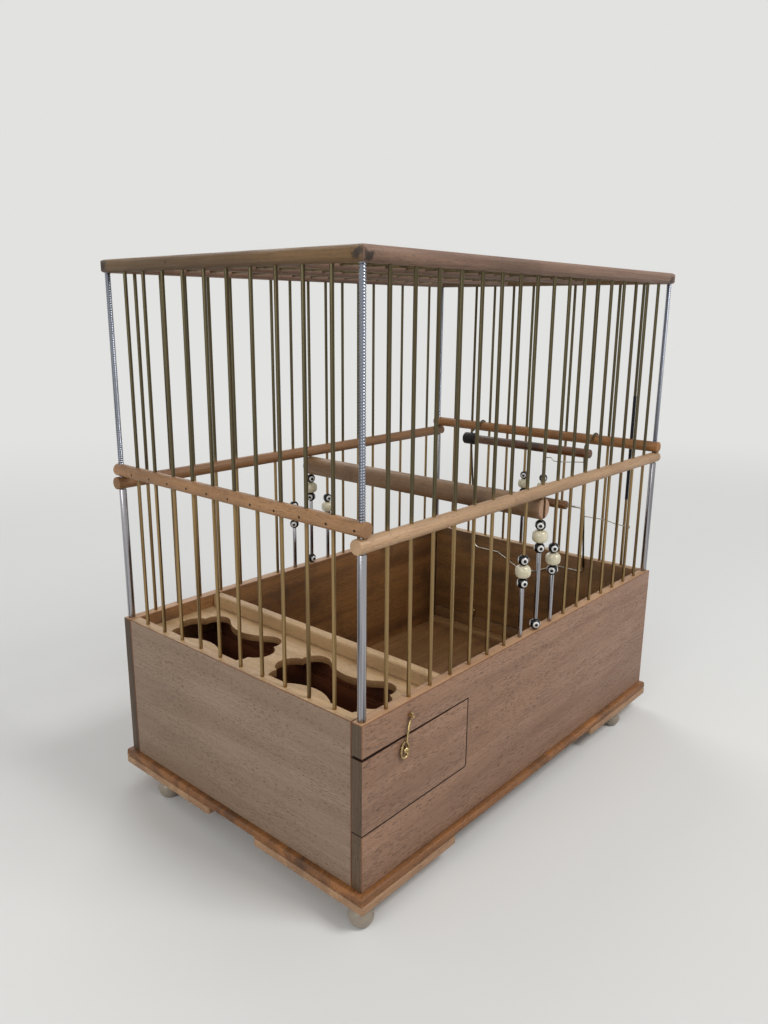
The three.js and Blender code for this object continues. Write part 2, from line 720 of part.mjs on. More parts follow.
function rungCap() {
  const inner = rungD / 2 + fit;
  const outer = inner + capWall;
  const mouth = [[inner, 0], [outer, 0]];
  const crown = [[outer, capL], [outer - capWall, capL + capWall], [0, capL + capWall]];
  const socket = [[0, capL], [inner, capL], [inner, 0]];
  const profile = [...mouth, ...crown, ...socket];
  const y = upperRungEnd + seam - capL;
  return turnedAlong(profile, dowelSides, at(upperRungX, y, upperRungZ), at(upperRungX, y + 1, upperRungZ));
}

part("rung_cap", cut(rungCap(), [frameBore]), rubber);

// the lower rung is held between the legs by the thin wire through it
function lowerRungBody() {
  const wood = dowel(at(lowerRungX, -lowerRungHalf, lowerRungZ), at(lowerRungX, lowerRungHalf, lowerRungZ), rungD / 2);
  const end = frameLegY - frameR - seam;
  return wood.add(rod(at(lowerRungX, -end, lowerRungZ), at(lowerRungX, end, lowerRungZ), frameR));
}

part("lower_rung", lowerRungBody(), darkRung);

export default group;
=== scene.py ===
# %% [markdown]
# # A canary breeding cage
#
# The cage is a shallow beech box with a wire house on top. Ball feet carry it, a feed drawer slides out of
# the front, a sand tray slides out of the right end, and a perch rests on stacks of glass beads. The packed
# model already has every piece at its real place. This notebook dresses it: each piece is modelled again
# with the softness of the real one, and gets its wood, wire or glass.

import math
from contextlib import contextmanager

import bmesh
import bpy
from mathutils import Matrix, Vector


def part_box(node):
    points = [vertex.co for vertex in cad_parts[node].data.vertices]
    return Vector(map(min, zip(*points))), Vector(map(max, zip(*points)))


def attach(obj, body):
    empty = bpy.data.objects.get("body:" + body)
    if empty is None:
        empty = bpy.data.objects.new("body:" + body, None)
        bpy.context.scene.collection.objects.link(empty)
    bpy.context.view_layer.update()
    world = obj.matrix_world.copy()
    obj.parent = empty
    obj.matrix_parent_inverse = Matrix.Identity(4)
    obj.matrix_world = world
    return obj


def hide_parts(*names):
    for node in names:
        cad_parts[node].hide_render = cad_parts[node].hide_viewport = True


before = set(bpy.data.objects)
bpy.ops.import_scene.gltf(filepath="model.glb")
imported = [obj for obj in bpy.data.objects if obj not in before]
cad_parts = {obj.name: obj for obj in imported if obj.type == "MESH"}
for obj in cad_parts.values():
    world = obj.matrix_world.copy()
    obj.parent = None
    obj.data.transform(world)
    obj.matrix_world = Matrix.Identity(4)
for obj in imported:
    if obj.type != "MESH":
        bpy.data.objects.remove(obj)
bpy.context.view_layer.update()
scene = bpy.context.scene
mm = 0.001

# %% [markdown]
# A few places serve many pieces. The posts stand at the corners of a rectangle about the origin, and every
# rail is the same dowel. An edge counts as lying on a plane when its ends are near enough to it.

# %% Shared places
DOWEL = 3.6 * mm
NEAR = 0.1 * mm
post_x, post_y = 150 * mm, 95 * mm
box_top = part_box("back_board")[1].z
roof_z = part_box("roof_rail_front")[1].z - DOWEL
print("posts at", post_x, post_y, "roof at", round(roof_z, 4))

# %% [markdown]
# ## Camera
#
# The picture was taken from the front left, a little above the rails, with a wide lens close to the cage. A
# camera is set from three directions here: where it looks, what is right and what is up. The lens is kept
# exactly, because at this distance it shapes the whole perspective. Rotation angles typed by hand would do
# the same, but the three directions are easier to check.

# %% Camera
turn, tilt, roll = (math.radians(a) for a in (48.716, -14.078, 0.517))
ahead = Vector((math.sin(turn) * math.cos(tilt), math.cos(turn) * math.cos(tilt), math.sin(tilt)))
level = Vector((math.cos(turn), -math.sin(turn), 0))
upright = level.cross(ahead)
right = level * math.cos(roll) + upright * math.sin(roll)
up = upright * math.cos(roll) - level * math.sin(roll)

bpy.ops.object.camera_add(location=(-0.39393, -0.32159, 0.29050))
camera = bpy.context.object
camera.rotation_euler = Matrix((right, up, -ahead)).transposed().to_euler()
camera.data.lens = 28.342
camera.data.clip_start = 0.01
scene.camera = camera
print("camera looks along", [round(v, 3) for v in ahead])

# %% [markdown]
# ## Node helpers
#
# Materials are built from nodes. One small helper adds a node, sets it and links it, so that each material
# reads as a short list of steps instead of a page of links.


# %% Node helpers
def add(tree, kind, inputs=None, **settings):
    """Adds a node. inputs are values or other nodes' sockets, settings are the node's own properties."""
    made = tree.nodes.new(kind)
    for key, value in settings.items():
        setattr(made, key, value)
    for key, value in (inputs or {}).items():
        if isinstance(value, bpy.types.NodeSocket):
            tree.links.new(value, made.inputs[key])
        else:
            made.inputs[key].default_value = value
    return made


def mixed(tree, factor, a, b):
    """The colour between a and b."""
    return add(tree, "ShaderNodeMix", {0: factor, 6: a, 7: b}, data_type="RGBA").outputs[2]


def worked_out(tree, operation, a, b):
    """One sum with two values."""
    return add(tree, "ShaderNodeMath", {0: a, 1: b}, operation=operation).outputs[0]


def ranged(tree, value, low, high, to_low=0.0, to_high=1.0):
    """value spread from low..high to to_low..to_high, and kept inside it."""
    inputs = {"Value": value, "From Min": low, "From Max": high, "To Min": to_low, "To Max": to_high}
    return add(tree, "ShaderNodeMapRange", inputs, interpolation_type="SMOOTHSTEP").outputs[0]


def stretched_noise(tree, place, stretch, detail, distortion=0.0):
    """Noise whose grain is finer or coarser along each axis."""
    scaled = add(tree, "ShaderNodeVectorMath", {0: place, 1: stretch}, operation="MULTIPLY")
    inputs = {"Vector": scaled.outputs[0], "Scale": 1.0, "Detail": detail, "Distortion": distortion}
    return add(tree, "ShaderNodeTexNoise", inputs).outputs[0]


def group_tree(name, inputs, outputs):
    """An empty node group with its sockets."""
    tree = bpy.data.node_groups.new(name, "ShaderNodeTree")
    for label, kind in inputs:
        tree.interface.new_socket(label, in_out="INPUT", socket_type=kind)
    for label, kind in outputs:
        tree.interface.new_socket(label, in_out="OUTPUT", socket_type=kind)
    return tree, add(tree, "NodeGroupInput"), add(tree, "NodeGroupOutput")


def tone(red, green, blue):
    """A colour as a picture shows it, turned into the linear values that a shader takes."""
    shares = [channel / 255 for channel in (red, green, blue)]
    return (*(s / 12.92 if s <= 0.04 else ((s + 0.055) / 1.055) ** 2.4 for s in shares), 1)


# %% [markdown]
# ## Floor, background and light
#
# The cage stands on a plain pale floor. Far from the cage, and only for rays that go to the eye, to a gloss
# or through glass, the floor turns into the same plain colour as the background, so no horizon shows. Near
# the cage it is an ordinary surface and keeps the shadow. A painted backdrop would need its own light, and
# this needs none.

# %% Floor and background
PALE = tone(226, 226, 224)
SHADOW_REACH, PLAIN_FROM = 0.45, 1.6


def seen_directly(tree):
    """1 for rays that show the background: to the camera, in gloss and through glass."""
    path = add(tree, "ShaderNodeLightPath")
    either = worked_out(tree, "MAXIMUM", path.outputs["Is Camera Ray"], path.outputs["Is Glossy Ray"])
    return worked_out(tree, "MAXIMUM", either, path.outputs["Is Transmission Ray"])


bpy.ops.mesh.primitive_circle_add(vertices=64, radius=40, fill_type="NGON", location=(0, 0, 0))
floor = bpy.context.object
floor.name = "floor"
floor_paint = bpy.data.materials.new("floor_paint")
floor_paint.use_nodes = True
tree = floor_paint.node_tree
tree.nodes.clear()
place = add(tree, "ShaderNodeTexCoord").outputs["Object"]
distance = add(tree, "ShaderNodeVectorMath", {0: place}, operation="LENGTH").outputs["Value"]
far = ranged(tree, distance, SHADOW_REACH, PLAIN_FROM)
plain = worked_out(tree, "MULTIPLY", far, seen_directly(tree))
matt = add(tree, "ShaderNodeBsdfDiffuse", {"Color": tone(222, 222, 220)})
glow = add(tree, "ShaderNodeEmission", {"Color": PALE, "Strength": 1.0})
mix = add(tree, "ShaderNodeMixShader", {0: plain, 1: matt.outputs[0], 2: glow.outputs[0]})
add(tree, "ShaderNodeOutputMaterial", {"Surface": mix.outputs[0]})
floor.data.materials.append(floor_paint)

world = bpy.data.worlds.new("studio")
scene.world = world
world.use_nodes = True
tree = world.node_tree
tree.nodes.clear()
ambient = add(tree, "ShaderNodeBackground", {"Color": (1, 1, 1, 1), "Strength": 0.42})
shown = add(tree, "ShaderNodeBackground", {"Color": PALE, "Strength": 1.0})
mix = add(tree, "ShaderNodeMixShader", {0: seen_directly(tree), 1: ambient.outputs[0], 2: shown.outputs[0]})
add(tree, "ShaderNodeOutputWorld", {"Surface": mix.outputs[0]})
print("background ready")

# %% [markdown]
# A big soft lamp over the camera's right shoulder gives the short shadows that the wires throw to the back
# left. A weaker one from the left lifts the end of the box, and one from behind keeps the far side
# readable.


# %% Lamps
def lamp(name, place, size, power):
    """A square soft lamp that faces the middle of the cage."""
    bpy.ops.object.light_add(type="AREA", location=place)
    made = bpy.context.object
    made.name = name
    made.data.size = size
    made.data.energy = power
    towards = Vector((0, 0, 0.14)) - Vector(place)
    made.rotation_euler = towards.to_track_quat("-Z", "Y").to_euler()


lamp("key_lamp", (0.3, -1.15, 1.55), 0.6, 17)
lamp("left_lamp", (-1.5, -0.25, 0.75), 1.0, 9)
lamp("back_lamp", (0.7, 1.3, 1.2), 1.0, 8)
scene.view_settings.view_transform = "Standard"

# %% [markdown]
# ## Beech
#
# The box is planed beech. Its mark is the fleck: thousands of short fine dark lines, a few millimetres
# long, that lie along the grain on a pinkish brown ground. A group makes the three layers once - broad
# figure, fine fibre and fleck - from a position whose X runs along the grain. Each wood then turns that
# position to its own grain and mixes its own colours.

# %% Beech grain group
grain, given, result = group_tree(
    "beech_grain",
    [("Along Grain", "NodeSocketVector")],
    [("Figure", "NodeSocketFloat"), ("Fibre", "NodeSocketFloat"), ("Fleck", "NodeSocketFloat")],
)
along = given.outputs["Along Grain"]
figure = ranged(grain, stretched_noise(grain, along, (5, 75, 75), 3, 0.6), 0.3, 0.7)
fibre = ranged(grain, stretched_noise(grain, along, (45, 1300, 1300), 2), 0.3, 0.7)
spots = ranged(grain, stretched_noise(grain, along, (330, 2900, 2900), 1), 0.55, 0.67)
patches = ranged(grain, stretched_noise(grain, along, (25, 90, 90), 2), 0.35, 0.6, 0.5, 1.0)
fleck = worked_out(grain, "MULTIPLY", spots, patches)
for label, socket in (("Figure", figure), ("Fibre", fibre), ("Fleck", fleck)):
    grain.links.new(socket, result.inputs[label])
print("grain group:", [s.name for s in grain.interface.items_tree])

# %% [markdown]
# Handling darkens wood in soft uneven smudges. That layer is a second group, used by the wood and by the
# metal.

# %% Smudge group
smudge, given, result = group_tree(
    "smudge", [("Place", "NodeSocketVector"), ("Size", "NodeSocketFloat")], [("Amount", "NodeSocketFloat")]
)
cloud = add(
    smudge,
    "ShaderNodeTexNoise",
    {"Vector": given.outputs["Place"], "Scale": given.outputs["Size"], "Detail": 5.0, "Roughness": 0.62},
)
smudge.links.new(ranged(smudge, cloud.outputs[0], 0.45, 0.72), result.inputs["Amount"])

# %% Wood materials
TURN_TO_X = {"X": (0, 0, 0), "Y": (0, 0, -math.pi / 2), "Z": (0, math.pi / 2, 0)}


def use_group(tree, group, inputs):
    """A node that runs a group."""
    return add(tree, "ShaderNodeGroup", inputs, node_tree=group)


def new_material(name):
    """A material with only an output and a Principled shader, and the position on the piece."""
    made = bpy.data.materials.new(name)
    made.use_nodes = True
    tree = made.node_tree
    tree.nodes.clear()
    shader = add(tree, "ShaderNodeBsdfPrincipled")
    add(tree, "ShaderNodeOutputMaterial", {"Surface": shader.outputs[0]})
    return made, tree, shader, add(tree, "ShaderNodeTexCoord").outputs["Object"]


def wood(name, light, dark, fleck_tone, grain_axis="X", flecks=0.8, soil=0.25, rough=0.55, shift=0.0):
    """Beech with its grain along one axis. shift moves the pattern, so that two boards don't match."""
    made, tree, shader, place = new_material(name)
    light, dark, fleck_tone = tone(*light), tone(*dark), tone(*fleck_tone)
    inputs = {"Vector": place, "Rotation": TURN_TO_X[grain_axis], "Location": (shift, shift, 0)}
    turned = add(tree, "ShaderNodeMapping", inputs).outputs[0]
    layers = use_group(tree, grain, {"Along Grain": turned})
    ground = mixed(tree, layers.outputs["Figure"], light, dark)
    fine = ranged(tree, layers.outputs["Fibre"], 0, 1, 0, 0.35)
    ground = mixed(tree, fine, ground, dark)
    handled = use_group(tree, smudge, {"Place": turned, "Size": 24.0}).outputs[0]
    handled = ranged(tree, handled, 0, 1, 0, soil)
    ground = mixed(tree, handled, ground, fleck_tone)
    marks = ranged(tree, layers.outputs["Fleck"], 0, 1, 0, flecks)
    tree.links.new(mixed(tree, marks, ground, fleck_tone), shader.inputs["Base Color"])
    sheen = ranged(tree, layers.outputs["Fibre"], 0, 1, rough - 0.06, rough + 0.1)
    tree.links.new(sheen, shader.inputs["Roughness"])
    height = worked_out(tree, "SUBTRACT", layers.outputs["Fibre"], marks)
    bump = add(tree, "ShaderNodeBump", {"Strength": 0.35, "Distance": 0.12 * mm, "Height": height})
    tree.links.new(bump.outputs[0], shader.inputs["Normal"])
    return made


FLECK = (84, 58, 42)
front_beech = wood("front_beech", (153, 118, 94), (132, 98, 76), FLECK, "X", 0.9, soil=0.1)
end_beech = wood("end_beech", (144, 121, 101), (128, 105, 85), (82, 62, 46), "Y", 0.9, soil=0.06, shift=0.37)
arris_beech = wood("arris_beech", (134, 88, 56), (104, 64, 40), FLECK, "X", 0.4)
# A near black wood for bevels and faces in seams, gaps and openings: painted shade.
painted_shade_beech = wood("painted_shade_beech", (64, 38, 22), (40, 22, 12), (24, 14, 8), "X", 0.4)
end_grain = wood("end_grain", (104, 82, 56), (66, 50, 34), (40, 28, 18), "Z", 0.7)
top_beech = wood("top_beech", (184, 144, 106), (156, 116, 80), FLECK, "X", 0.45)
end_top_beech = wood("end_top_beech", (190, 158, 118), (162, 130, 92), FLECK, "Y", 0.45)
# The inner faces are a warmer, darker brown than the outside: their own colour and stains, with painted shade
# as deep inside a box.
inner_beech_shaded = wood("inner_beech_shaded", (140, 96, 50), (100, 64, 30), (50, 30, 14), "X", 0.6, soil=0.6, shift=0.2)
inner_end_shaded = wood("inner_end_shaded", (146, 105, 60), (104, 73, 39), (48, 32, 18), "Y", 0.7, soil=0.5, shift=0.6)
base_beech = wood("base_beech", (162, 106, 54), (102, 64, 32), (46, 28, 16), "X", 0.8, soil=0.6)
pad_beech = wood("pad_beech", (180, 142, 106), (146, 110, 80), FLECK, "X", 0.6, soil=0.3)
deck_beech = wood("deck_beech", (196, 164, 122), (168, 136, 96), (110, 80, 50), "Y", 0.45)
cut_beech = wood("cut_beech", (160, 122, 78), (126, 90, 54), (80, 54, 34), "Y", 0.5)
# Dark reddish wood for the drawer inside: its own colour with painted shade under the deck.
feed_beech_shaded = wood("feed_beech_shaded", (116, 62, 32), (80, 40, 20), (36, 18, 8), "Y", 0.6, soil=0.5)
# The tray floor is darker in the same way: its own colour with painted shade.
floor_beech_shaded = wood("floor_beech_shaded", (140, 100, 58), (112, 78, 42), (64, 40, 22), "X", 0.8, soil=0.4)
rail_x = wood("rail_x", (190, 154, 118), (156, 124, 92), (100, 70, 48), "X", 0.45, soil=0.2)
rail_y = wood("rail_y", (182, 138, 94), (140, 102, 66), (80, 52, 32), "Y", 0.5, soil=0.3, shift=0.5)
perch_beech = wood("perch_beech", (150, 118, 84), (112, 84, 58), (66, 44, 28), "Y", 0.6, soil=0.5)
perch_end = wood("perch_end", (196, 158, 130), (164, 128, 102), FLECK, "Z", 0.5)
# The back rail and the right end rail get darker copies of the rail wood: painted shade, as they face away
# from the light.
rail_back = wood("rail_back", (150, 108, 70), (112, 78, 48), FLECK, "X", 0.5, soil=0.3, shift=0.8)
rail_right = wood("rail_right", (176, 122, 68), (124, 84, 46), (64, 40, 24), "Y", 0.6, soil=0.4, shift=0.1)
print("woods:", len(bpy.data.materials))

# %% [markdown]
# The roof rails have dark stains at three of their mitres and a small mark on the left rail. A stain is a
# round mask about a point on the outer face of the rail, so it stays on the wood from every side. The rungs
# are varnished dark and mottled, with a soft shine, and the lower one is more golden.

# %% Roof rails and varnished rungs
LEFT_FRONT, RIGHT_FRONT, LEFT_BACK = (-1, -1), (1, -1), (-1, 1)
STAINS = {
    "X": [(LEFT_FRONT, 0.5, 3.6), (RIGHT_FRONT, 3.8, 3.6), (LEFT_BACK, -0.5, 4.5)],
    "Y": [(LEFT_FRONT, 0, 3.8), (LEFT_BACK, 1, 4.6), (LEFT_BACK, 60, 1.3)],
}


def stain_centre(axis, corner, inwards):
    """A point on the outer face of a roof rail, some millimetres in from its mitre."""
    side_x, side_y = corner
    if axis == "X":
        return side_x * (post_x - inwards * mm), side_y * (post_y + DOWEL), roof_z - 1.2 * mm
    return side_x * (post_x + DOWEL), side_y * (post_y - inwards * mm), roof_z + 0.4 * mm


def stained_rail(name, axis, light, dark):
    """Rail wood with its STAINS. Each has a corner, a distance inwards and a radius, in millimetres."""
    made = wood(name, light, dark, (70, 46, 28), axis, 0.45, soil=0.35, shift=0.3)
    tree = made.node_tree
    shader = tree.nodes["Principled BSDF"]
    colour = shader.inputs["Base Color"].links[0].from_socket
    place = add(tree, "ShaderNodeTexCoord").outputs["Object"]
    ragged = add(tree, "ShaderNodeTexNoise", {"Vector": place, "Scale": 420.0, "Detail": 3.0}).outputs[0]
    for corner, inwards, radius in STAINS[axis]:
        inputs = {0: place, 1: stain_centre(axis, corner, inwards)}
        away = add(tree, "ShaderNodeVectorMath", inputs, operation="DISTANCE").outputs["Value"]
        edge = ranged(tree, ragged, 0.3, 0.7, 0.5 * radius * mm, 1.3 * radius * mm)
        mask = worked_out(tree, "DIVIDE", away, edge)
        colour = mixed(tree, ranged(tree, mask, 0.35, 1.1, 0.95, 0.0), colour, tone(38, 22, 12))
    tree.links.new(colour, shader.inputs["Base Color"])
    return made


# The roof rails and stringers are darker than the rails below, the end ones most: painted shade, as the roof
# lies in less light. The mitre stains are real.
roof_x = stained_rail("roof_x", "X", (144, 112, 92), (108, 82, 66))
roof_y = stained_rail("roof_y", "Y", (120, 90, 52), (84, 62, 34))
dark_rung = wood("dark_rung", (116, 70, 32), (44, 24, 12), (14, 8, 6), "Y", 0.9, soil=1.0, rough=0.32)
gold_rung = wood("gold_rung", (148, 100, 52), (84, 52, 26), (24, 14, 8), "Y", 0.8, soil=0.8, rough=0.32)
dark_rung.node_tree.nodes["Principled BSDF"].inputs["Coat Weight"].default_value = 0.15
print("woods:", len(bpy.data.materials))

# %% [markdown]
# ## Metals, glass and paint
#
# The wires are brass that has gone dull and olive, with brighter patches. Their upper half is painted duller,
# as a painted dark reflection. The posts and tubes are bright steel, with dull upright streaks painted on as
# reflection. Both are metal all through, so only their colour and gloss change over the surface, by the
# smudge group. The glass beads need a clear coat rather than metal.


# %% Metal, glass and paint materials
def metal(name, bright, dull, shine, haze, streak=(160, 160, 160), above=None):
    """Metal between a bright tone and a dull one, drawn out by streak: patches on the brass, painted
    reflection on the steel. shine and haze are its roughnesses.

    above is (height, tone) for the metal higher up, painted duller there as a dark reflection.
    """
    made, tree, shader, place = new_material(name)
    bright, dull = tone(*bright), tone(*dull)
    drawn = add(tree, "ShaderNodeVectorMath", {0: place, 1: streak}, operation="MULTIPLY").outputs[0]
    wear_and_painted_reflection = use_group(tree, smudge, {"Place": drawn, "Size": 1.0}).outputs[0]
    colour = mixed(tree, wear_and_painted_reflection, bright, dull)
    if above:
        up = add(tree, "ShaderNodeSeparateXYZ", {"Vector": place}).outputs["Z"]
        height, painted_reflection_tone = above
        high = ranged(tree, up, height - 4 * mm, height + 4 * mm)
        colour = mixed(tree, high, colour, mixed(tree, wear_and_painted_reflection, tone(*painted_reflection_tone), dull))
    tree.links.new(colour, shader.inputs["Base Color"])
    tree.links.new(ranged(tree, wear_and_painted_reflection, 0, 1, shine, haze), shader.inputs["Roughness"])
    shader.inputs["Metallic"].default_value = 1.0
    return made


def glazed(name, colour, tint, rough, coat, size=300.0, bump=0.0, specular=0.5):
    """Glass, plastic or paint: one colour that drifts a little towards tint."""
    made, tree, shader, place = new_material(name)
    drift = use_group(tree, smudge, {"Place": place, "Size": size}).outputs[0]
    tree.links.new(mixed(tree, drift, tone(*colour), tone(*tint)), shader.inputs["Base Color"])
    tree.links.new(ranged(tree, drift, 0, 1, rough, rough + 0.12), shader.inputs["Roughness"])
    shader.inputs["Coat Weight"].default_value = coat
    shader.inputs["Specular IOR Level"].default_value = specular
    if bump:
        uneven = add(tree, "ShaderNodeBump", {"Strength": bump, "Distance": 0.1 * mm, "Height": drift})
        tree.links.new(uneven.outputs[0], shader.inputs["Normal"])
    return made


UPRIGHT = (900, 900, 9)
# Above 0.196 m the wires take a duller tone, and the roof wires are duller all through: painted dark
# reflection.
wire_brass = metal("wire_brass", (154, 128, 88), (68, 56, 38), 0.34, 0.5, UPRIGHT, (0.196, (94, 86, 64)))
roof_brass_painted_dull = metal("roof_brass_painted_dull", (112, 96, 64), (72, 60, 40), 0.4, 0.55)
hook_brass = metal("hook_brass", (190, 166, 118), (104, 80, 48), 0.18, 0.34, (400, 400, 400))
# The dull tone of the steels, drawn out in upright streaks, is painted reflection of dark surroundings.
bright_steel = metal("bright_steel", (170, 168, 172), (44, 44, 50), 0.2, 0.3, UPRIGHT)
thread_steel = metal("thread_steel", (138, 142, 152), (54, 56, 62), 0.25, 0.4, UPRIGHT)
frame_steel = metal("frame_steel", (226, 222, 210), (132, 124, 108), 0.2, 0.36)
dark_steel = metal("dark_steel", (84, 76, 60), (34, 30, 24), 0.4, 0.6)
brad_steel = metal("brad_steel", (62, 50, 40), (26, 20, 16), 0.4, 0.6)
eye_black = glazed("eye_black", (14, 14, 18), (6, 6, 8), 0.1, 0.12, specular=0.25)
eye_white = glazed("eye_white", (222, 221, 218), (200, 198, 192), 0.15, 0.5)
ivory = glazed("ivory", (212, 204, 176), (190, 178, 146), 0.18, 0.4)
# The feet's cream paint is written darker: its own colour with painted shade, as the feet stand under the
# base.
foot_paint_shaded = glazed("foot_paint_shaded", (142, 131, 116), (112, 102, 88), 0.35, 0.1, 120.0, 0.2)
cap_rubber = glazed("cap_rubber", (24, 22, 22), (12, 11, 11), 0.5, 0.0, 600.0, 0.4, 0.25)
print("materials:", len(bpy.data.materials))

# %% [markdown]
# ## Modelling helpers
#
# Each piece starts as a primitive at its real size and place and is shaped in edit mode. The helpers below
# are the moves that repeat: fill a box, lay a round bar between two points, ease the edges, cut with
# another piece, and give the finished piece its name, material and body.


# %% Selecting and editing
def alone(piece):
    """piece is the only one selected, and active."""
    bpy.ops.object.select_all(action="DESELECT")
    piece.select_set(True)
    bpy.context.view_layer.objects.active = piece


@contextmanager
def editing(piece):
    """Edit mode on one piece with nothing selected, in edge mode."""
    alone(piece)
    scene.tool_settings.mesh_select_mode = (False, True, False)
    bpy.ops.object.mode_set(mode="EDIT")
    bpy.ops.mesh.select_all(action="DESELECT")
    yield bmesh.from_edit_mesh(piece.data)
    bpy.ops.object.mode_set(mode="OBJECT")


def ease(piece, width, chosen, segments=2, slot=-1):
    """Bevels the chosen edges. slot gives the new faces a material of their own."""
    with editing(piece) as mesh:
        for edge in mesh.edges:
            edge.select_set(chosen(edge))
        bpy.ops.mesh.bevel(offset=width, segments=segments, affect="EDGES", material=slot, clamp_overlap=True)


def sharp(edge, least=math.radians(50)):
    """The edge is an arris, and not a facet of a round piece."""
    return len(edge.link_faces) == 2 and edge.calc_face_angle(0) > least


def standing(edge):
    """The edge climbs from one height to another."""
    return abs(edge.verts[0].co.z - edge.verts[1].co.z) > mm


def above(height):
    """A test for the edges that lie wholly above a height."""
    return lambda edge: all(v.co.z > height for v in edge.verts)


def trim(piece, point, outward):
    """Cuts a piece with a plane, closes the cut and throws away what lies outward of it."""
    with editing(piece):
        bpy.ops.mesh.select_all(action="SELECT")
        bpy.ops.mesh.bisect(plane_co=point, plane_no=outward, use_fill=True, clear_outer=True)


def moved(piece, place, turned=0.0):
    """Turns a piece about the upright axis and moves it, for good."""
    piece.rotation_euler, piece.location = (0, 0, turned), place
    alone(piece)
    bpy.ops.object.transform_apply()
    return piece


def blank_slots(piece, count):
    """Empty material slots, so that faces can be numbered before the piece gets its materials."""
    for _ in range(count):
        piece.data.materials.append(None)


# %% Primitives at their size and place
def slab(low, high):
    """A block from the low corner to the high one."""
    bpy.ops.object.select_all(action="DESELECT")
    low, high = Vector(low), Vector(high)
    bpy.ops.mesh.primitive_cube_add(size=1, location=(low + high) / 2, scale=high - low)
    bpy.ops.object.transform_apply()
    return bpy.context.object


def bar(start, end, radius, sides=28, rounding=0.0, segments=3):
    """A round bar between two points, with its end edges rounded."""
    bpy.ops.object.select_all(action="DESELECT")
    start, end = Vector(start), Vector(end)
    line = end - start
    turned = line.to_track_quat("Z", "Y").to_euler()
    bpy.ops.mesh.primitive_cylinder_add(
        vertices=sides, radius=radius, depth=line.length, location=(start + end) / 2, rotation=turned
    )
    bpy.ops.object.transform_apply()
    made = bpy.context.object
    if rounding:
        ease(made, rounding, sharp, segments)
    return made


def ball(radius, scale, segments=24, rings=14):
    """A sphere at the origin, scaled."""
    bpy.ops.object.select_all(action="DESELECT")
    bpy.ops.mesh.primitive_uv_sphere_add(segments=segments, ring_count=rings, radius=radius)
    made = bpy.context.object
    made.scale = scale
    bpy.ops.object.transform_apply()
    return made


def shaped(piece, tool, operation):
    """Combines piece with tool and throws the tool away."""
    alone(piece)
    saw = piece.modifiers.new("saw", "BOOLEAN")
    saw.operation, saw.solver, saw.object = operation, "EXACT", tool
    bpy.ops.object.modifier_apply(modifier=saw.name)
    bpy.data.objects.remove(tool)


def cut(piece, tool):
    """Takes tool out of piece, as a saw or a router does."""
    shaped(piece, tool, "DIFFERENCE")


def together(pieces):
    """Joins pieces into the first one."""
    alone(pieces[0])
    for piece in pieces:
        piece.select_set(True)
    bpy.ops.object.join()
    return pieces[0]


def repeated(model, places):
    """Copies of model moved by each place, joined into one piece."""
    copies = []
    for place in places:
        alone(model)
        bpy.ops.object.duplicate()
        bpy.context.object.location = place
        copies.append(bpy.context.object)
    bpy.data.objects.remove(model)
    made = together(copies)
    bpy.ops.object.transform_apply()
    return made


def recast(node):
    """A merged copy of a CAD node's mesh, to be finished by hand."""
    made = bpy.data.objects.new(node + "_copy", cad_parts[node].data.copy())
    scene.collection.objects.link(made)
    made.data.materials.clear()
    with editing(made):
        bpy.ops.mesh.select_all(action="SELECT")
        bpy.ops.mesh.remove_doubles(threshold=1e-6)
        bpy.ops.mesh.dissolve_limited(angle_limit=math.radians(0.5))
    return made


def wire_from(points, radius):
    """A bent wire: a line through the points, given a round section and made a mesh."""
    line = bpy.data.curves.new("wire", "CURVE")
    line.dimensions = "3D"
    line.bevel_depth, line.bevel_resolution, line.use_fill_caps = radius, 3, True
    spline = line.splines.new("POLY")
    spline.points.add(len(points) - 1)
    for point, place in zip(spline.points, points):
        point.co = (*place, 1)
    made = bpy.data.objects.new("wire", line)
    scene.collection.objects.link(made)
    alone(made)
    bpy.ops.object.convert(target="MESH")
    return bpy.context.object


# %% Finishing a piece
made_pieces = []


def finished(piece, name, body, materials, nodes=(), smooth=35):
    """Names a piece, gives it its materials and body, and lets it stand for its CAD nodes."""
    alone(piece)
    bpy.ops.object.shade_smooth_by_angle(angle=math.radians(smooth))
    piece.name = piece.data.name = name
    indices = [face.material_index for face in piece.data.polygons]
    piece.data.materials.clear()
    for material in materials:
        piece.data.materials.append(material)
    for face, index in zip(piece.data.polygons, indices):
        face.material_index = min(index, len(materials) - 1)
    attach(piece, body)
    if nodes:
        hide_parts(*nodes)
    made_pieces.append(name)
    return piece


def paint_facing(piece, sides):
    """Gives the faces that look along each direction in sides another material of the piece."""
    for direction, slot in sides:
        for face in piece.data.polygons:
            if face.normal.dot(Vector(direction)) > 0.9 and face.material_index == 0:
                face.material_index = slot


# %% [markdown]
# ## The box
#
# Four planed boards stand on the base. The front board and the back board lap over the ends, so their end
# grain shows as a narrow darker strip at each corner. The edges are eased by a third of a millimetre. The
# bevel operator can give the eased strip its own material, which is how the warm, rubbed arrises are made.

# %% Boards
ARRIS, GAP_ARRIS = 0.35 * mm, 0.25 * mm


def plank(node, name, body, woods, sides, seam=None):
    """A planed board in the place of a node. sides lists (direction, number in woods) of faces that differ.

    The last two woods are the arris and the painted shade at the seam. seam is the height of the edges that
    meet another board.
    """
    made = slab(*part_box(node))
    blank_slots(made, len(woods))
    paint_facing(made, sides)

    def at_seam(edge):
        return seam is not None and all(abs(v.co.z - seam) < NEAR for v in edge.verts)

    # Eased edges where the board meets another get the dark wood: painted shade in the seam.
    ease(made, GAP_ARRIS, lambda edge: sharp(edge) and at_seam(edge), slot=len(woods) - 1)
    ease(made, ARRIS, lambda edge: sharp(edge) and not at_seam(edge), slot=len(woods) - 2)
    return finished(made, name, body, woods, [node])


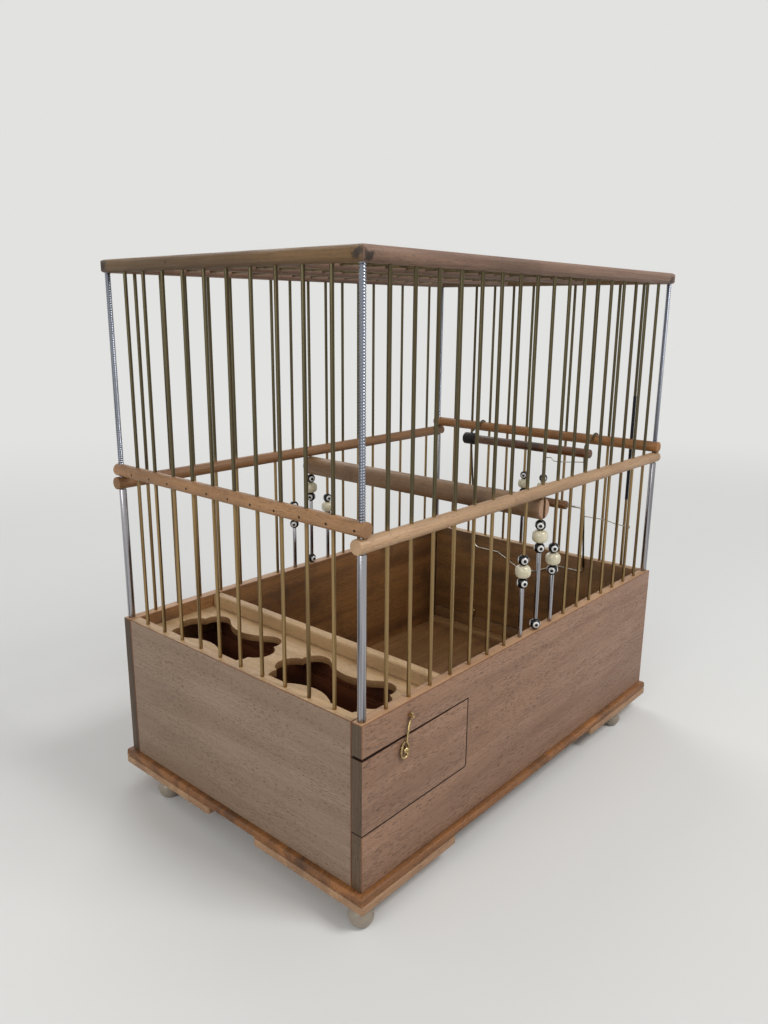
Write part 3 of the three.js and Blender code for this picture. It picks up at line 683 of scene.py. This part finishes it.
LEFT, RIGHT, FRONT, BACK, TOP, UNDER = (-1, 0, 0), (1, 0, 0), (0, -1, 0), (0, 1, 0), (0, 0, 1), (0, 0, -1)
long_woods = [front_beech, inner_beech_shaded, top_beech, end_grain, arris_beech, painted_shade_beech]
short_woods = [end_beech, inner_end_shaded, end_top_beech, end_grain, arris_beech, painted_shade_beech]
end_low, tray_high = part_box("right_end_board")[0].z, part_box("tray_front")[1].z
plank("back_board", "board_back", "cage", long_woods, [(FRONT, 1), (TOP, 2), (LEFT, 3), (RIGHT, 3)])
plank("left_end_board", "board_left", "cage", short_woods, [(RIGHT, 1), (TOP, 2)])
plank("right_end_board", "board_right", "cage", short_woods, [(LEFT, 1), (TOP, 2)], end_low)
plank("tray_front", "board_tray", "sand_tray", short_woods, [(LEFT, 1), (TOP, 2)], tray_high)
tray_batten = slab(*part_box("tray_batten"))
ease(tray_batten, 0.9 * mm, above(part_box("tray_batten")[1].z - NEAR), 4)
finished(tray_batten, "batten_tray", "sand_tray", [cut_beech], ["tray_batten"])
print("boards:", made_pieces)

# %% [markdown]
# The front board is the one that is sawn: the feed drawer leaves through it. The saw cuts once right
# through for the drawer box, and once half way for the lip of the drawer front. Boolean cuts follow that
# order of work, and the edges are eased after the cuts, as a cabinet maker would do.

# %% Front board and drawer front
front_low, front_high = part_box("front_board")
drawer_low, drawer_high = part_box("drawer_front")
partition_low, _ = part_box("feed_partition")
GAP, OVER, CORNER = 0.5 * mm, 2 * mm, 1.5 * mm
lap_y = (front_low.y + front_high.y) / 2


def rounded_corner(piece, radius):
    """Rounds the lower right corner of a cut or a drawer front, as a router bit leaves it."""
    lowest = min(v.co.z for v in piece.data.vertices)
    farthest = max(v.co.x for v in piece.data.vertices)

    def at_corner(edge):
        ends = [v.co for v in edge.verts]
        return all(abs(end.z - lowest) < NEAR / 10 and abs(end.x - farthest) < NEAR / 10 for end in ends)

    ease(piece, radius, at_corner, 4)


board = slab(front_low, front_high)
high_z = drawer_high.z + GAP
cut_low = (front_low.x - OVER, front_low.y - OVER, drawer_low.z - GAP)
cut(board, slab(cut_low, (partition_low.x, front_high.y + OVER, high_z)))
lip_cut = slab(cut_low, (drawer_high.x + GAP, lap_y, high_z))
rounded_corner(lip_cut, CORNER + GAP)
cut(board, lip_cut)
board.data.materials.clear()
blank_slots(board, len(long_woods))
for face in board.data.polygons:
    face.material_index = 0
paint_facing(board, ((BACK, 1), (TOP, 2), (LEFT, 3), (RIGHT, 3)))


def in_opening(face):
    """The face is a wall of the opening, and not an outer face of the board."""
    inside = [front_low[i] + mm < face.center[i] < front_high[i] - mm for i in (0, 2)]
    return all(inside) and abs(face.normal.y) < 0.5


# The walls of the opening get the dark wood: painted shade in the opening.
for face in filter(in_opening, board.data.polygons):
    face.material_index = 5


def on_rim(edge):
    """The edge runs along an edge of the whole board, and not along a cut."""
    a, b = (v.co for v in edge.verts)
    shared = [i for i in range(3) if abs(a[i] - b[i]) < NEAR / 100]
    outer = [i for i in shared if min(abs(a[i] - front_low[i]), abs(a[i] - front_high[i])) < NEAR / 10]
    return len(outer) >= 2


# The eased edges along the cuts get the dark wood too: painted shade in the gap round the drawer.
ease(board, GAP_ARRIS, lambda edge: sharp(edge) and not on_rim(edge), slot=5)
ease(board, ARRIS, lambda edge: sharp(edge) and on_rim(edge), slot=4)
finished(board, "board_front", "cage", long_woods, ["front_board"])

# %% [markdown]
# The drawer front has worn loose in its opening: the gap above it is wider at the outer end. Its top edge
# is lowered there by most of a millimetre.

# %% Drawer front
WEAR = 0.9 * mm
drawer = recast("drawer_front")
blank_slots(drawer, len(long_woods))
# Its top, bottom and inner end, and its eased edges inside the gap, get the dark wood: painted shade in the
# gap.
paint_facing(drawer, ((LEFT, 3), (RIGHT, 5), (BACK, 1), (TOP, 5), (UNDER, 5)))
rounded_corner(drawer, CORNER)
for v in drawer.data.vertices:
    if v.co.z > drawer_high.z - NEAR and v.co.x < drawer_low.x + NEAR:
        v.co.z -= WEAR


def outer_arris(edge):
    return all(v.co.x < drawer_low.x + NEAR for v in edge.verts)


ease(drawer, GAP_ARRIS, lambda edge: sharp(edge) and not outer_arris(edge), slot=5)
ease(drawer, ARRIS, lambda edge: sharp(edge) and outer_arris(edge), slot=4)
finished(drawer, "drawer_face", "feed_drawer", long_woods, ["drawer_front"])
print("front board faces:", len(board.data.polygons))

# %% [markdown]
# The base board has a rounded rim, and under it lie four L-shaped pads and the ball feet. A foot is a
# sphere that is cut flat above and below with bisect.

# %% Base, pads and feet
base_low, base_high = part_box("base_board")
base = slab(base_low, base_high)
# The lower rim, over the pads, gets the dark wood: painted shade in the seam.
ease(base, 1.3 * mm, lambda e: sharp(e) and all(v.co.z < base_low.z + NEAR for v in e.verts), 4, 1)
ease(base, 1.5 * mm, lambda e: sharp(e) and any(v.co.z > base_high.z - NEAR for v in e.verts), 5)
finished(base, "base_slab", "cage", [base_beech, painted_shade_beech], ["base_board"])

CORNERS = ("front_left", "front_right", "back_left", "back_right")
for corner in CORNERS:
    pad = recast(f"corner_pad_{corner}")
    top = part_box(f"corner_pad_{corner}")[1].z
    ease(pad, 1.2 * mm, lambda e: sharp(e) and standing(e), 4)
    # The top edge, against the base, gets the dark wood: painted shade in the seam.
    ease(pad, 0.5 * mm, lambda e: sharp(e) and above(top - NEAR)(e), 2, 1)
    ease(pad, 0.5 * mm, lambda e: sharp(e) and all(v.co.z < top - 4 * mm for v in e.verts), 3)
    finished(pad, f"pad_{corner}", "cage", [pad_beech, painted_shade_beech], [f"corner_pad_{corner}"])

FOOT_FLAT = math.radians(56)
for corner in CORNERS:
    low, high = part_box(f"foot_{corner}")
    across, tall = (high.x - low.x) / 2, (high.z - low.z) / 2 / math.sin(FOOT_FLAT)
    foot = moved(ball(1, (across, across, tall), 32, 24), (low + high) / 2)
    for height, away in ((low.z, -1), (high.z, 1)):
        trim(foot, (0, 0, height), (0, 0, away))
    ease(foot, 0.25 * mm, lambda edge: sharp(edge, math.radians(30)))
    finished(foot, f"ball_foot_{corner}", "cage", [foot_paint_shaded], [f"foot_{corner}"])

# %% [markdown]
# ## The feed end
#
# A thin deck covers the drawer. Two cloud-shaped holes let the birds reach the seed. Sawing such outlines
# again would only repeat the CAD outline, so the deck is a merged copy of its node, with the rims of the
# holes eased. The sawn walls of the holes are darker than the planed top.

# %% Deck, batten and what is inside
deck = recast("feed_deck")
blank_slots(deck, 3)
for face in deck.data.polygons:
    if abs(face.normal.z) < 0.5:
        face.material_index = 1
ease(deck, 0.3 * mm, sharp, slot=2)
finished(deck, "deck", "cage", [deck_beech, cut_beech, cut_beech], ["feed_deck"])

batten = slab(*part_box("deck_batten"))
ease(batten, 1.6 * mm, above(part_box("deck_batten")[1].z - mm), 4)
finished(batten, "batten", "cage", [deck_beech], ["deck_batten"])


def dress_node(node, material):
    """Keeps a CAD node's shape and gives it a wood of its own."""
    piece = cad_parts[node]
    piece.data.materials.clear()
    piece.data.materials.append(material)


# The drawer's inner parts get the dark reddish wood, with its painted shade.
for node in ("drawer_tray", "drawer_shelf", "feed_partition"):
    dress_node(node, feed_beech_shaded)
dress_node("tray_floor", floor_beech_shaded)

# %% [markdown]
# ## Rails and roof
#
# Rails are dowels with eased ends. The long rails lie under the short ones where they cross at a post. The
# roof rails meet in mitres: the corner is a bisect at 45 degrees, and the tiny gap between the two cuts
# draws the joint line of the real cage.

# %% Rails
long_rail_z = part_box("post_sleeve_front_left")[1].z + 0.2 * mm + DOWEL
end_rail_z = long_rail_z + 2 * DOWEL + 0.2 * mm

for y, name, look in ((-post_y, "front", rail_x), (post_y, "back", rail_back)):
    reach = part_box(f"{name}_grille")[1].x
    rail = bar((-reach, y, long_rail_z), (reach, y, long_rail_z), DOWEL, 32, 0.45 * mm)
    finished(rail, f"rail_{name}", "cage", [look], [f"{name}_grille"])
for x, name, look in ((-post_x, "left", rail_y), (post_x, "right", rail_right)):
    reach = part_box(f"{name}_grille")[1].y
    rail = bar((x, -reach, end_rail_z), (x, reach, end_rail_z), DOWEL, 32, 0.45 * mm)
    finished(rail, f"rail_{name}", "cage", [look], [f"{name}_grille"])

MITRE_GAP = 0.06 * mm
ROOF_RAILS = ((True, -1, "front"), (True, 1, "back"), (False, -1, "left"), (False, 1, "right"))
roof_low, roof_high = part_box("roof_rail_front")[0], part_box("roof_rail_back")[1]
for lengthwise, side, name in ROOF_RAILS:
    reach = (post_x if lengthwise else post_y) + DOWEL
    across = side * (post_y if lengthwise else post_x)
    ends = [(s * reach, across, roof_z) if lengthwise else (across, s * reach, roof_z) for s in (-1, 1)]
    rail = bar(*ends, DOWEL, 32)
    for s in (-1, 1):
        corner = (s * post_x, across, roof_z) if lengthwise else (across, s * post_y, roof_z)
        outward = Vector((s, -side, 0) if lengthwise else (-side, s, 0)).normalized()
        trim(rail, Vector(corner) - outward * MITRE_GAP, outward)
    sanded = slab((roof_low.x, roof_low.y, roof_low.z - mm), (roof_high.x, roof_high.y, roof_high.z + mm))
    ease(sanded, 4 * mm, standing, 6)
    shaped(rail, sanded, "INTERSECT")
    look = roof_x if lengthwise else roof_y
    finished(rail, f"roof_{name}", "cage", [look], [f"roof_rail_{name}"])
print("rails at", round(long_rail_z / mm, 1), round(end_rail_z / mm, 1), round(roof_z / mm, 1))

# %% [markdown]
# On its outer side the end rail has a small dark brad beside each wire, which pins the wire in its hole.
# One brad is modelled and copied along the rail, and its head stands out of the wood by a hair.

# %% Brads in the end rails
LONG_GAPS, END_GAPS = 18, 11
wire_x = [post_x * (2 * i / LONG_GAPS - 1) for i in range(1, LONG_GAPS)]
wire_y = [post_y * (2 * i / END_GAPS - 1) for i in range(1, END_GAPS)]
brad_z = end_rail_z - 0.3 * mm
for side, name in ((-1, "left"), (1, "right")):
    sunk, head = (side * (post_x + DOWEL + out) for out in (-mm, 0.12 * mm))
    brad = bar((sunk, 0, brad_z), (head, 0, brad_z), 0.65 * mm, 12)
    ease(brad, 0.15 * mm, sharp)
    brads = repeated(brad, [(0, y + 1.2 * mm, 0) for y in [*wire_y, -post_y]])
    finished(brads, f"brads_{name}", "cage", [brad_steel])

# %% [markdown]
# ## Wires
#
# Fifty-four upright wires stand in the boards, pass through the rails and end in the roof. One wire is
# modelled and copied to its places. The roof has seventeen more, which pass through two thin dowels.

# %% Wires
WIRE = 1.0 * mm
WIRE_SUNK = 9 * mm
wire_low, wire_high = box_top - WIRE_SUNK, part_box("front_grille")[1].z
wire_places = {
    "front": [(x, -post_y, 0) for x in wire_x],
    "back": [(x, post_y, 0) for x in wire_x],
    "left": [(-post_x, y, 0) for y in wire_y],
    "right": [(post_x, y, 0) for y in wire_y],
}
for name, places in wire_places.items():
    wires = repeated(bar((0, 0, wire_low), (0, 0, wire_high), WIRE, 14), places)
    finished(wires, f"wires_{name}", "cage", [wire_brass], [f"{name}_grille"])

roof_wire_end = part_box("roof_grille")[1].y
model = bar((0, -roof_wire_end, roof_z), (0, roof_wire_end, roof_z), WIRE, 14)
wires = repeated(model, [(x, 0, 0) for x in wire_x])
finished(wires, "wires_roof", "cage", [roof_brass_painted_dull], ["roof_grille"])
stringer_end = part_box("roof_grille")[1].x
for side, name in ((-1, "front"), (1, "back")):
    y = side * post_y / 3
    stringer = bar((-stringer_end, y, roof_z), (stringer_end, y, roof_z), 3 * mm, 24)
    finished(stringer, f"stringer_{name}", "cage", [roof_x], ["roof_grille"])

# %% [markdown]
# ## Posts
#
# Each post is a threaded rod with a smooth sleeve over its lower half. A thread is one small tooth that the
# Screw modifier turns about the post while it climbs, one pitch for each turn. Rings stacked on each other
# would look alike from afar but have no helix.

# %% Threaded posts and sleeves
PITCH = 1.25 * mm
CREST, ROOT = 1.6 * mm, 1.28 * mm
for corner in CORNERS:
    low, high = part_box(f"corner_post_{corner}")
    _, sleeve_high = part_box(f"post_sleeve_{corner}")
    middle = (low + high) / 2
    plain_end = sleeve_high.z - 4 * mm
    turns = int((high.z - plain_end) / PITCH) - 1
    tooth = bpy.data.meshes.new("tooth")
    tooth.from_pydata([(ROOT, 0, 0), (CREST, 0, PITCH / 2), (ROOT, 0, PITCH)], [(0, 1), (1, 2)], [])
    thread = bpy.data.objects.new("thread", tooth)
    scene.collection.objects.link(thread)
    alone(thread)
    climb = thread.modifiers.new("climb", "SCREW")
    climb.axis, climb.screw_offset, climb.iterations = "Z", PITCH, turns
    climb.steps = climb.render_steps = 14
    climb.use_merge_vertices, climb.use_smooth_shade = True, True
    bpy.ops.object.modifier_apply(modifier=climb.name)
    with editing(thread):
        bpy.ops.mesh.select_all(action="SELECT")
        bpy.ops.mesh.remove_doubles(threshold=1e-6)
        bpy.ops.mesh.select_all(action="DESELECT")
        bpy.ops.mesh.select_non_manifold()
        bpy.ops.mesh.fill()
        bpy.ops.mesh.select_all(action="SELECT")
        bpy.ops.mesh.normals_make_consistent(inside=False)
    moved(thread, (middle.x, middle.y, high.z - (turns + 1) * PITCH))
    core = bar((middle.x, middle.y, low.z), (middle.x, middle.y, plain_end + 6 * mm), ROOT, 20)
    post = together([thread, core])
    finished(post, f"post_{corner}", "cage", [thread_steel], [f"corner_post_{corner}"])

    low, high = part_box(f"post_sleeve_{corner}")
    middle = (low + high) / 2
    foot, top = (middle.x, middle.y, low.z), (middle.x, middle.y, high.z)
    sleeve = bar(foot, top, (high.x - low.x) / 2, 28, 0.3 * mm, 2)
    finished(sleeve, f"sleeve_{corner}", "cage", [bright_steel], [f"post_sleeve_{corner}"])
print("thread turns:", turns)

# %% [markdown]
# ## Perch
#
# The perch is a thick dowel. A narrow saw cut in each end lets it slip over the middle wire. The cut is
# made with a thin block, right through the end.

# %% Main perch
low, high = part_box("main_perch")
perch_z = (low.z + high.z) / 2
perch = bar((0, low.y, perch_z), (0, high.y, perch_z), (high.z - low.z) / 2, 36, 1.4 * mm, 4)
slot_half = 1.25 * mm
for side in (-1, 1):
    start, stop = sorted((side * (post_y - slot_half), side * (high.y + OVER)))
    cut(perch, slab((-slot_half, start, low.z - OVER), (slot_half, stop, high.z + OVER)))
blank_slots(perch, 2)
paint_facing(perch, [(FRONT, 1)])
finished(perch, "perch", "cage", [perch_beech, perch_end], ["main_perch"])

# %% [markdown]
# ## Bead stacks
#
# Bright tubes are threaded on some wires, and each carries an eye bead, an ivory barrel and another eye
# bead. The two stacks under the perch hold it up, and the others slide. An eye bead is a rounded black ball
# with three white discs and a black dot on each. The discs are flat lenses of glass laid on the ball, so
# they are modelled as squashed spheres and not painted.

# %% Beads
EYE_D, EYE_H, BARREL_D, BARREL_H, TUBE_R = 6 * mm, 6.2 * mm, 9 * mm, 7.3 * mm, 1.3 * mm


def eye_bead(facing):
    """A black bead at the origin with three eyes, the first turned to the angle facing, in degrees."""
    body = bar((0, 0, -EYE_H / 2), (0, 0, EYE_H / 2), EYE_D / 2, 28)
    ease(body, 2.6 * mm, sharp, segments=7)
    body.data.materials.append(eye_black)
    parts = [body]
    for third in range(3):
        angle = math.radians(facing + 120 * third)
        outward = Vector((math.cos(angle), math.sin(angle), 0))
        for radius, depth, out, glass in ((1.95, 0.8, 2.45, eye_white), (1.0, 0.25, 3.1, eye_black)):
            lens = moved(ball(radius * mm, (depth / radius, 1, 1), 20, 12), outward * out * mm, angle)
            lens.data.materials.append(glass)
            parts.append(lens)
    return together(parts)


def barrel_bead():
    """An ivory barrel centred at the origin."""
    made = bar((0, 0, -BARREL_H / 2), (0, 0, BARREL_H / 2), BARREL_D / 2, 28)
    ease(made, 2.8 * mm, sharp, segments=6)
    return made


STACKS = {
    "front_left": ("beads_front_left", (-131, -120)),
    "front_middle": ("cage", (-150, -130, -133)),
    "front_right": ("beads_front_right", (-137, -157)),
    "back_left": ("beads_back_left", (-120, -140)),
    "back_middle": ("cage", (-115, -150, -100)),
    "back_right": ("beads_back_right", (-110, -120)),
    "end_front": ("beads_end_front", (-140, -120)),
    "end_back": ("beads_end_back", (-160, -150)),
}
for name, (body, facings) in STACKS.items():
    node = f"bead_stack_{name}"
    low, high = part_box(node)
    x, y = (low.x + high.x) / 2, (low.y + high.y) / 2
    heights = [high.z - EYE_H / 2, high.z - 1.5 * EYE_H - BARREL_H]
    tube_low = low.z
    if len(facings) == 3:
        heights.append(low.z + EYE_H / 2)
        tube_low = low.z + EYE_H
    eyes = together([moved(eye_bead(facing), (x, y, height)) for facing, height in zip(facings, heights)])
    finished(eyes, f"eyes_{name}", body, [eye_black, eye_white], [node])
    barrel = moved(barrel_bead(), (x, y, high.z - EYE_H - BARREL_H / 2))
    finished(barrel, f"barrel_{name}", body, [ivory], [node])
    tube = bar((x, y, tube_low), (x, y, high.z - 2 * EYE_H - BARREL_H), TUBE_R, 24, 0.2 * mm, 2)
    finished(tube, f"tube_{name}", body, [bright_steel], [node])
print("stacks:", len(STACKS))

# %% [markdown]
# ## Hanging frame
#
# At the right end a bent wire hangs over the end rail and carries two dark rungs. The wire is a line
# through its bends with a round section. A black cap sits on the far end of the upper rung.

# %% Hanging frame
FRAME_R = 0.75 * mm
rung_low, rung_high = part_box("upper_rung")
rung_x, rung_z = (rung_low.x + rung_high.x) / 2, (rung_low.z + rung_high.z) / 2
lower_low, lower_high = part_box("lower_rung")
lower_x, lower_z = (lower_low.x + lower_high.x) / 2, (lower_low.z + lower_high.z) / 2
LEG_Y, BEND, DIP, DIP_OUT, DIP_IN = 50 * mm, 4 * mm, 9 * mm, 27 * mm, 8 * mm
hang_r = DOWEL + 0.2 * mm + FRAME_R
foot_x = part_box("right_end_board")[0].x - 0.2 * mm - FRAME_R
foot_z = box_top - 10.4 * mm
lean = (foot_x - rung_x) / (rung_z - foot_z)


def on_arc(first, last, steps, place):
    """Points on an arc, from one angle to another in degrees."""
    angles = [math.radians(first + (last - first) * i / steps) for i in range(steps + 1)]
    return [place(math.cos(a), math.sin(a)) for a in angles]


def frame_half(side):
    """The bends of one half of the frame, from its hook over the rail to the dip in the middle."""
    y = side * LEG_Y
    hanger = on_arc(-25, 155, 14, lambda c, s: (post_x + hang_r * c, y, end_rail_z + hang_r * s))
    leg = [(rung_x, y, rung_z + 5.3 * mm), (rung_x, y, rung_z - 4 * mm)]

    def at_bend(c, s):
        return foot_x - lean * BEND * (1 - s), y - side * BEND * (1 - c), foot_z + BEND * (1 - s)

    corner = on_arc(0, 90, 8, at_bend)
    slope = [(foot_x, side * DIP_OUT, foot_z), (foot_x, side * DIP_IN, foot_z - DIP)]
    return hanger + leg + corner + slope


hung = wire_from(frame_half(-1) + frame_half(1)[::-1], FRAME_R)
for face in hung.data.polygons:
    face.material_index = int(face.center.z > foot_z + 2 * BEND and abs(face.center.y) > LEG_Y - 3 * mm)
blank_slots(hung, 2)
finished(hung, "hanging_wire", "hanging_perch", [frame_steel, dark_steel], ["hanging_frame"], 60)

# %% [markdown]
# Two thin keeper wires leave the front leg. The upper one runs back under the rung and ends in a small
# hook, and the lower one runs forward and ends in a tiny eye.

# %% Keeper wires
KEEPER_R = 0.4 * mm
KEEPER_EYE_R = 1.0 * mm
leg_y = -LEG_Y / mm
upper = [(leg_y, 184.4), (-28, 181.8), (-24.6, 182.1), (-22.2, 184.4), (-17.7, 183.9), (-14.9, 180.1)]
lower = [(leg_y, 143.0), (-66, 143.4), (-75, 141.8), (-84, 141.2)]


def on_frame(y, z):
    """A point in the leaning plane of the frame, from its y and its height in millimetres."""
    return rung_x + (rung_z - z * mm) * lean, y * mm, z * mm


for points, name in ((upper, "upper"), (lower, "lower")):
    keeper = wire_from([on_frame(*point) for point in points], KEEPER_R)
    finished(keeper, f"keeper_{name}", "hanging_perch", [frame_steel], smooth=60)
end_x, end_y, end_z = on_frame(*lower[-1])
bpy.ops.object.select_all(action="DESELECT")
bpy.ops.mesh.primitive_torus_add(
    major_radius=KEEPER_EYE_R,
    minor_radius=KEEPER_R,
    major_segments=20,
    minor_segments=8,
    location=(end_x, end_y - KEEPER_EYE_R, end_z),
    rotation=(0, math.radians(90), 0),
)
bpy.ops.object.transform_apply()
finished(bpy.context.object, "keeper_eye", "hanging_perch", [frame_steel], smooth=60)

# %% Rungs and cap
RUNG_R, LOWER_HALF = 3.3 * mm, 36 * mm
rung = bar((rung_x, rung_low.y, rung_z), (rung_x, rung_high.y, rung_z), RUNG_R, 28, 1.2 * mm, 4)
finished(rung, "rung_upper", "hanging_perch", [dark_rung], ["upper_rung"])
rung = bar((lower_x, -LOWER_HALF, lower_z), (lower_x, LOWER_HALF, lower_z), RUNG_R, 28, 1.2 * mm, 4)
pin = bar((lower_x, lower_low.y, lower_z), (lower_x, lower_high.y, lower_z), FRAME_R, 12)
finished(rung, "rung_lower", "hanging_perch", [gold_rung], ["lower_rung"])
finished(pin, "rung_pin", "hanging_perch", [frame_steel], ["lower_rung"])
cap_low, cap_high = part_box("rung_cap")
cap_r = (cap_high.z - cap_low.z) / 2
cap = bar((rung_x, cap_low.y, rung_z), (rung_x, cap_high.y, rung_z), cap_r, 28, 0.8 * mm, 3)
finished(cap, "cap", "hanging_perch", [cap_rubber], ["rung_cap"])

# %% [markdown]
# A thin black length covers one wire of the right end, above and below the rail. Each length is a bar with
# eased ends, a little wider than the wire that carries it.

# %% Black lengths on an end wire
clear_of_rail = DOWEL + 0.2 * mm
dark_wire_spans = {
    "lower": (end_rail_z - 40.5 * mm, end_rail_z - clear_of_rail),
    "upper": (end_rail_z + clear_of_rail, end_rail_z + 34 * mm),
}
for name, (low, high) in dark_wire_spans.items():
    tube = bar((post_x, wire_y[0], low), (post_x, wire_y[0], high), 1.12 * mm, 18, 0.1 * mm, 1)
    finished(tube, f"black_bar_{name}", "cage", [cap_rubber])

# %% [markdown]
# ## Hooks
#
# A small brass hook turns on a screw in the drawer front and catches a pin in the board above. Its eye is
# pear shaped. The tray at the right end has the same hook. Each hook is one bent wire, each pin a short bar
# with a rounded end, and each screw head a flattened ball with a slot.

# %% Hooks, screws and pins
HOOK_R = 0.62 * mm
HOOK_OUT = 1.2 * mm
RING_X, RING_Z = 2.65 * mm, 4.35 * mm
RUN, RISE = 3.8 * mm, 16.5 * mm
PIN_R = 0.65 * mm
CROOK_R = PIN_R + 0.25 * mm + HOOK_R


def hook_points():
    """The hook seen from the front, with the screw at the origin and the board behind it."""
    ring = on_arc(102, 420, 34, lambda c, s: (RING_X * c * (1 - 0.22 * s), -HOOK_OUT, RING_Z * s))
    crook = on_arc(-90, 105, 12, lambda c, s: (RUN + CROOK_R * c, -HOOK_OUT, RISE + CROOK_R * s))
    return ring + [(RUN / 2, -HOOK_OUT, RISE / 2)] + crook


def screw_head():
    """A flattened brass head with a slot, on its neck."""
    neck = bar((0, 5 * mm, 0), (0, -2.2 * mm, 0), 1.0 * mm, 16)
    head = ball(1.6 * mm, (1, 0.7, 1))
    trim(head, (0, 0, 0), (0, 1, 0))
    cut(head, slab((-3 * mm, -3 * mm, -0.2 * mm), (3 * mm, -0.7 * mm, 0.2 * mm)))
    return together([neck, moved(head, (0, -2.0 * mm, 0))])


LATCHES = (("drawer", "feed_drawer", "drawer_latch"), ("tray", "sand_tray", "tray_latch"))
for place, body, hook_body in LATCHES:
    low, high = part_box(f"{place}_latch_screw")
    middle = (low + high) / 2
    if place == "drawer":
        at, angle = Vector((middle.x, front_low.y, middle.z)), 0
    else:
        at, angle = Vector((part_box("tray_front")[1].x, middle.y, middle.z)), math.pi / 2
    hook = moved(wire_from(hook_points(), HOOK_R), at, angle)
    finished(hook, f"hook_{place}", hook_body, [hook_brass], [f"{place}_latch_hook"], 60)
    screw = moved(screw_head(), at, angle)
    finished(screw, f"screw_{place}", body, [hook_brass], [f"{place}_latch_screw"])

PINS = {"drawer_latch_pin": "pin_drawer", "tray_latch_pin": "pin_tray", "end_board_pin": "pin_spare"}
for node, name in PINS.items():
    low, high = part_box(node)
    middle = (low + high) / 2
    if node.startswith("drawer"):
        ends = (middle.x, high.y, middle.z), (middle.x, low.y, middle.z)
    else:
        ends = (low.x, middle.y, middle.z), (high.x, middle.y, middle.z)
    pin = bar(*ends, PIN_R, 16, 0.3 * mm, 3)
    finished(pin, name, "cage", [hook_brass], [node])

# %% [markdown]
# Inside, a small bent nail in the end board reaches down in front of the tray front and stops it from
# rattling.

# %% Catch inside the right end
inner_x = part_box("right_end_board")[0].x
catch_y, catch_z = 48.0 * mm, tray_high + 6.5 * mm
points = [(inner_x + 3 * mm, catch_y, catch_z), (inner_x - 0.9 * mm, catch_y, catch_z)]
hang_x = inner_x - 1.4 * mm
points += [(hang_x, catch_y, catch_z - 0.5 * mm), (hang_x, catch_y + 3 * mm, catch_z - 13 * mm)]
catch = wire_from(points, 0.7 * mm)
finished(catch, "catch_inside", "cage", [hook_brass], smooth=60)
print("pieces:", len(made_pieces))
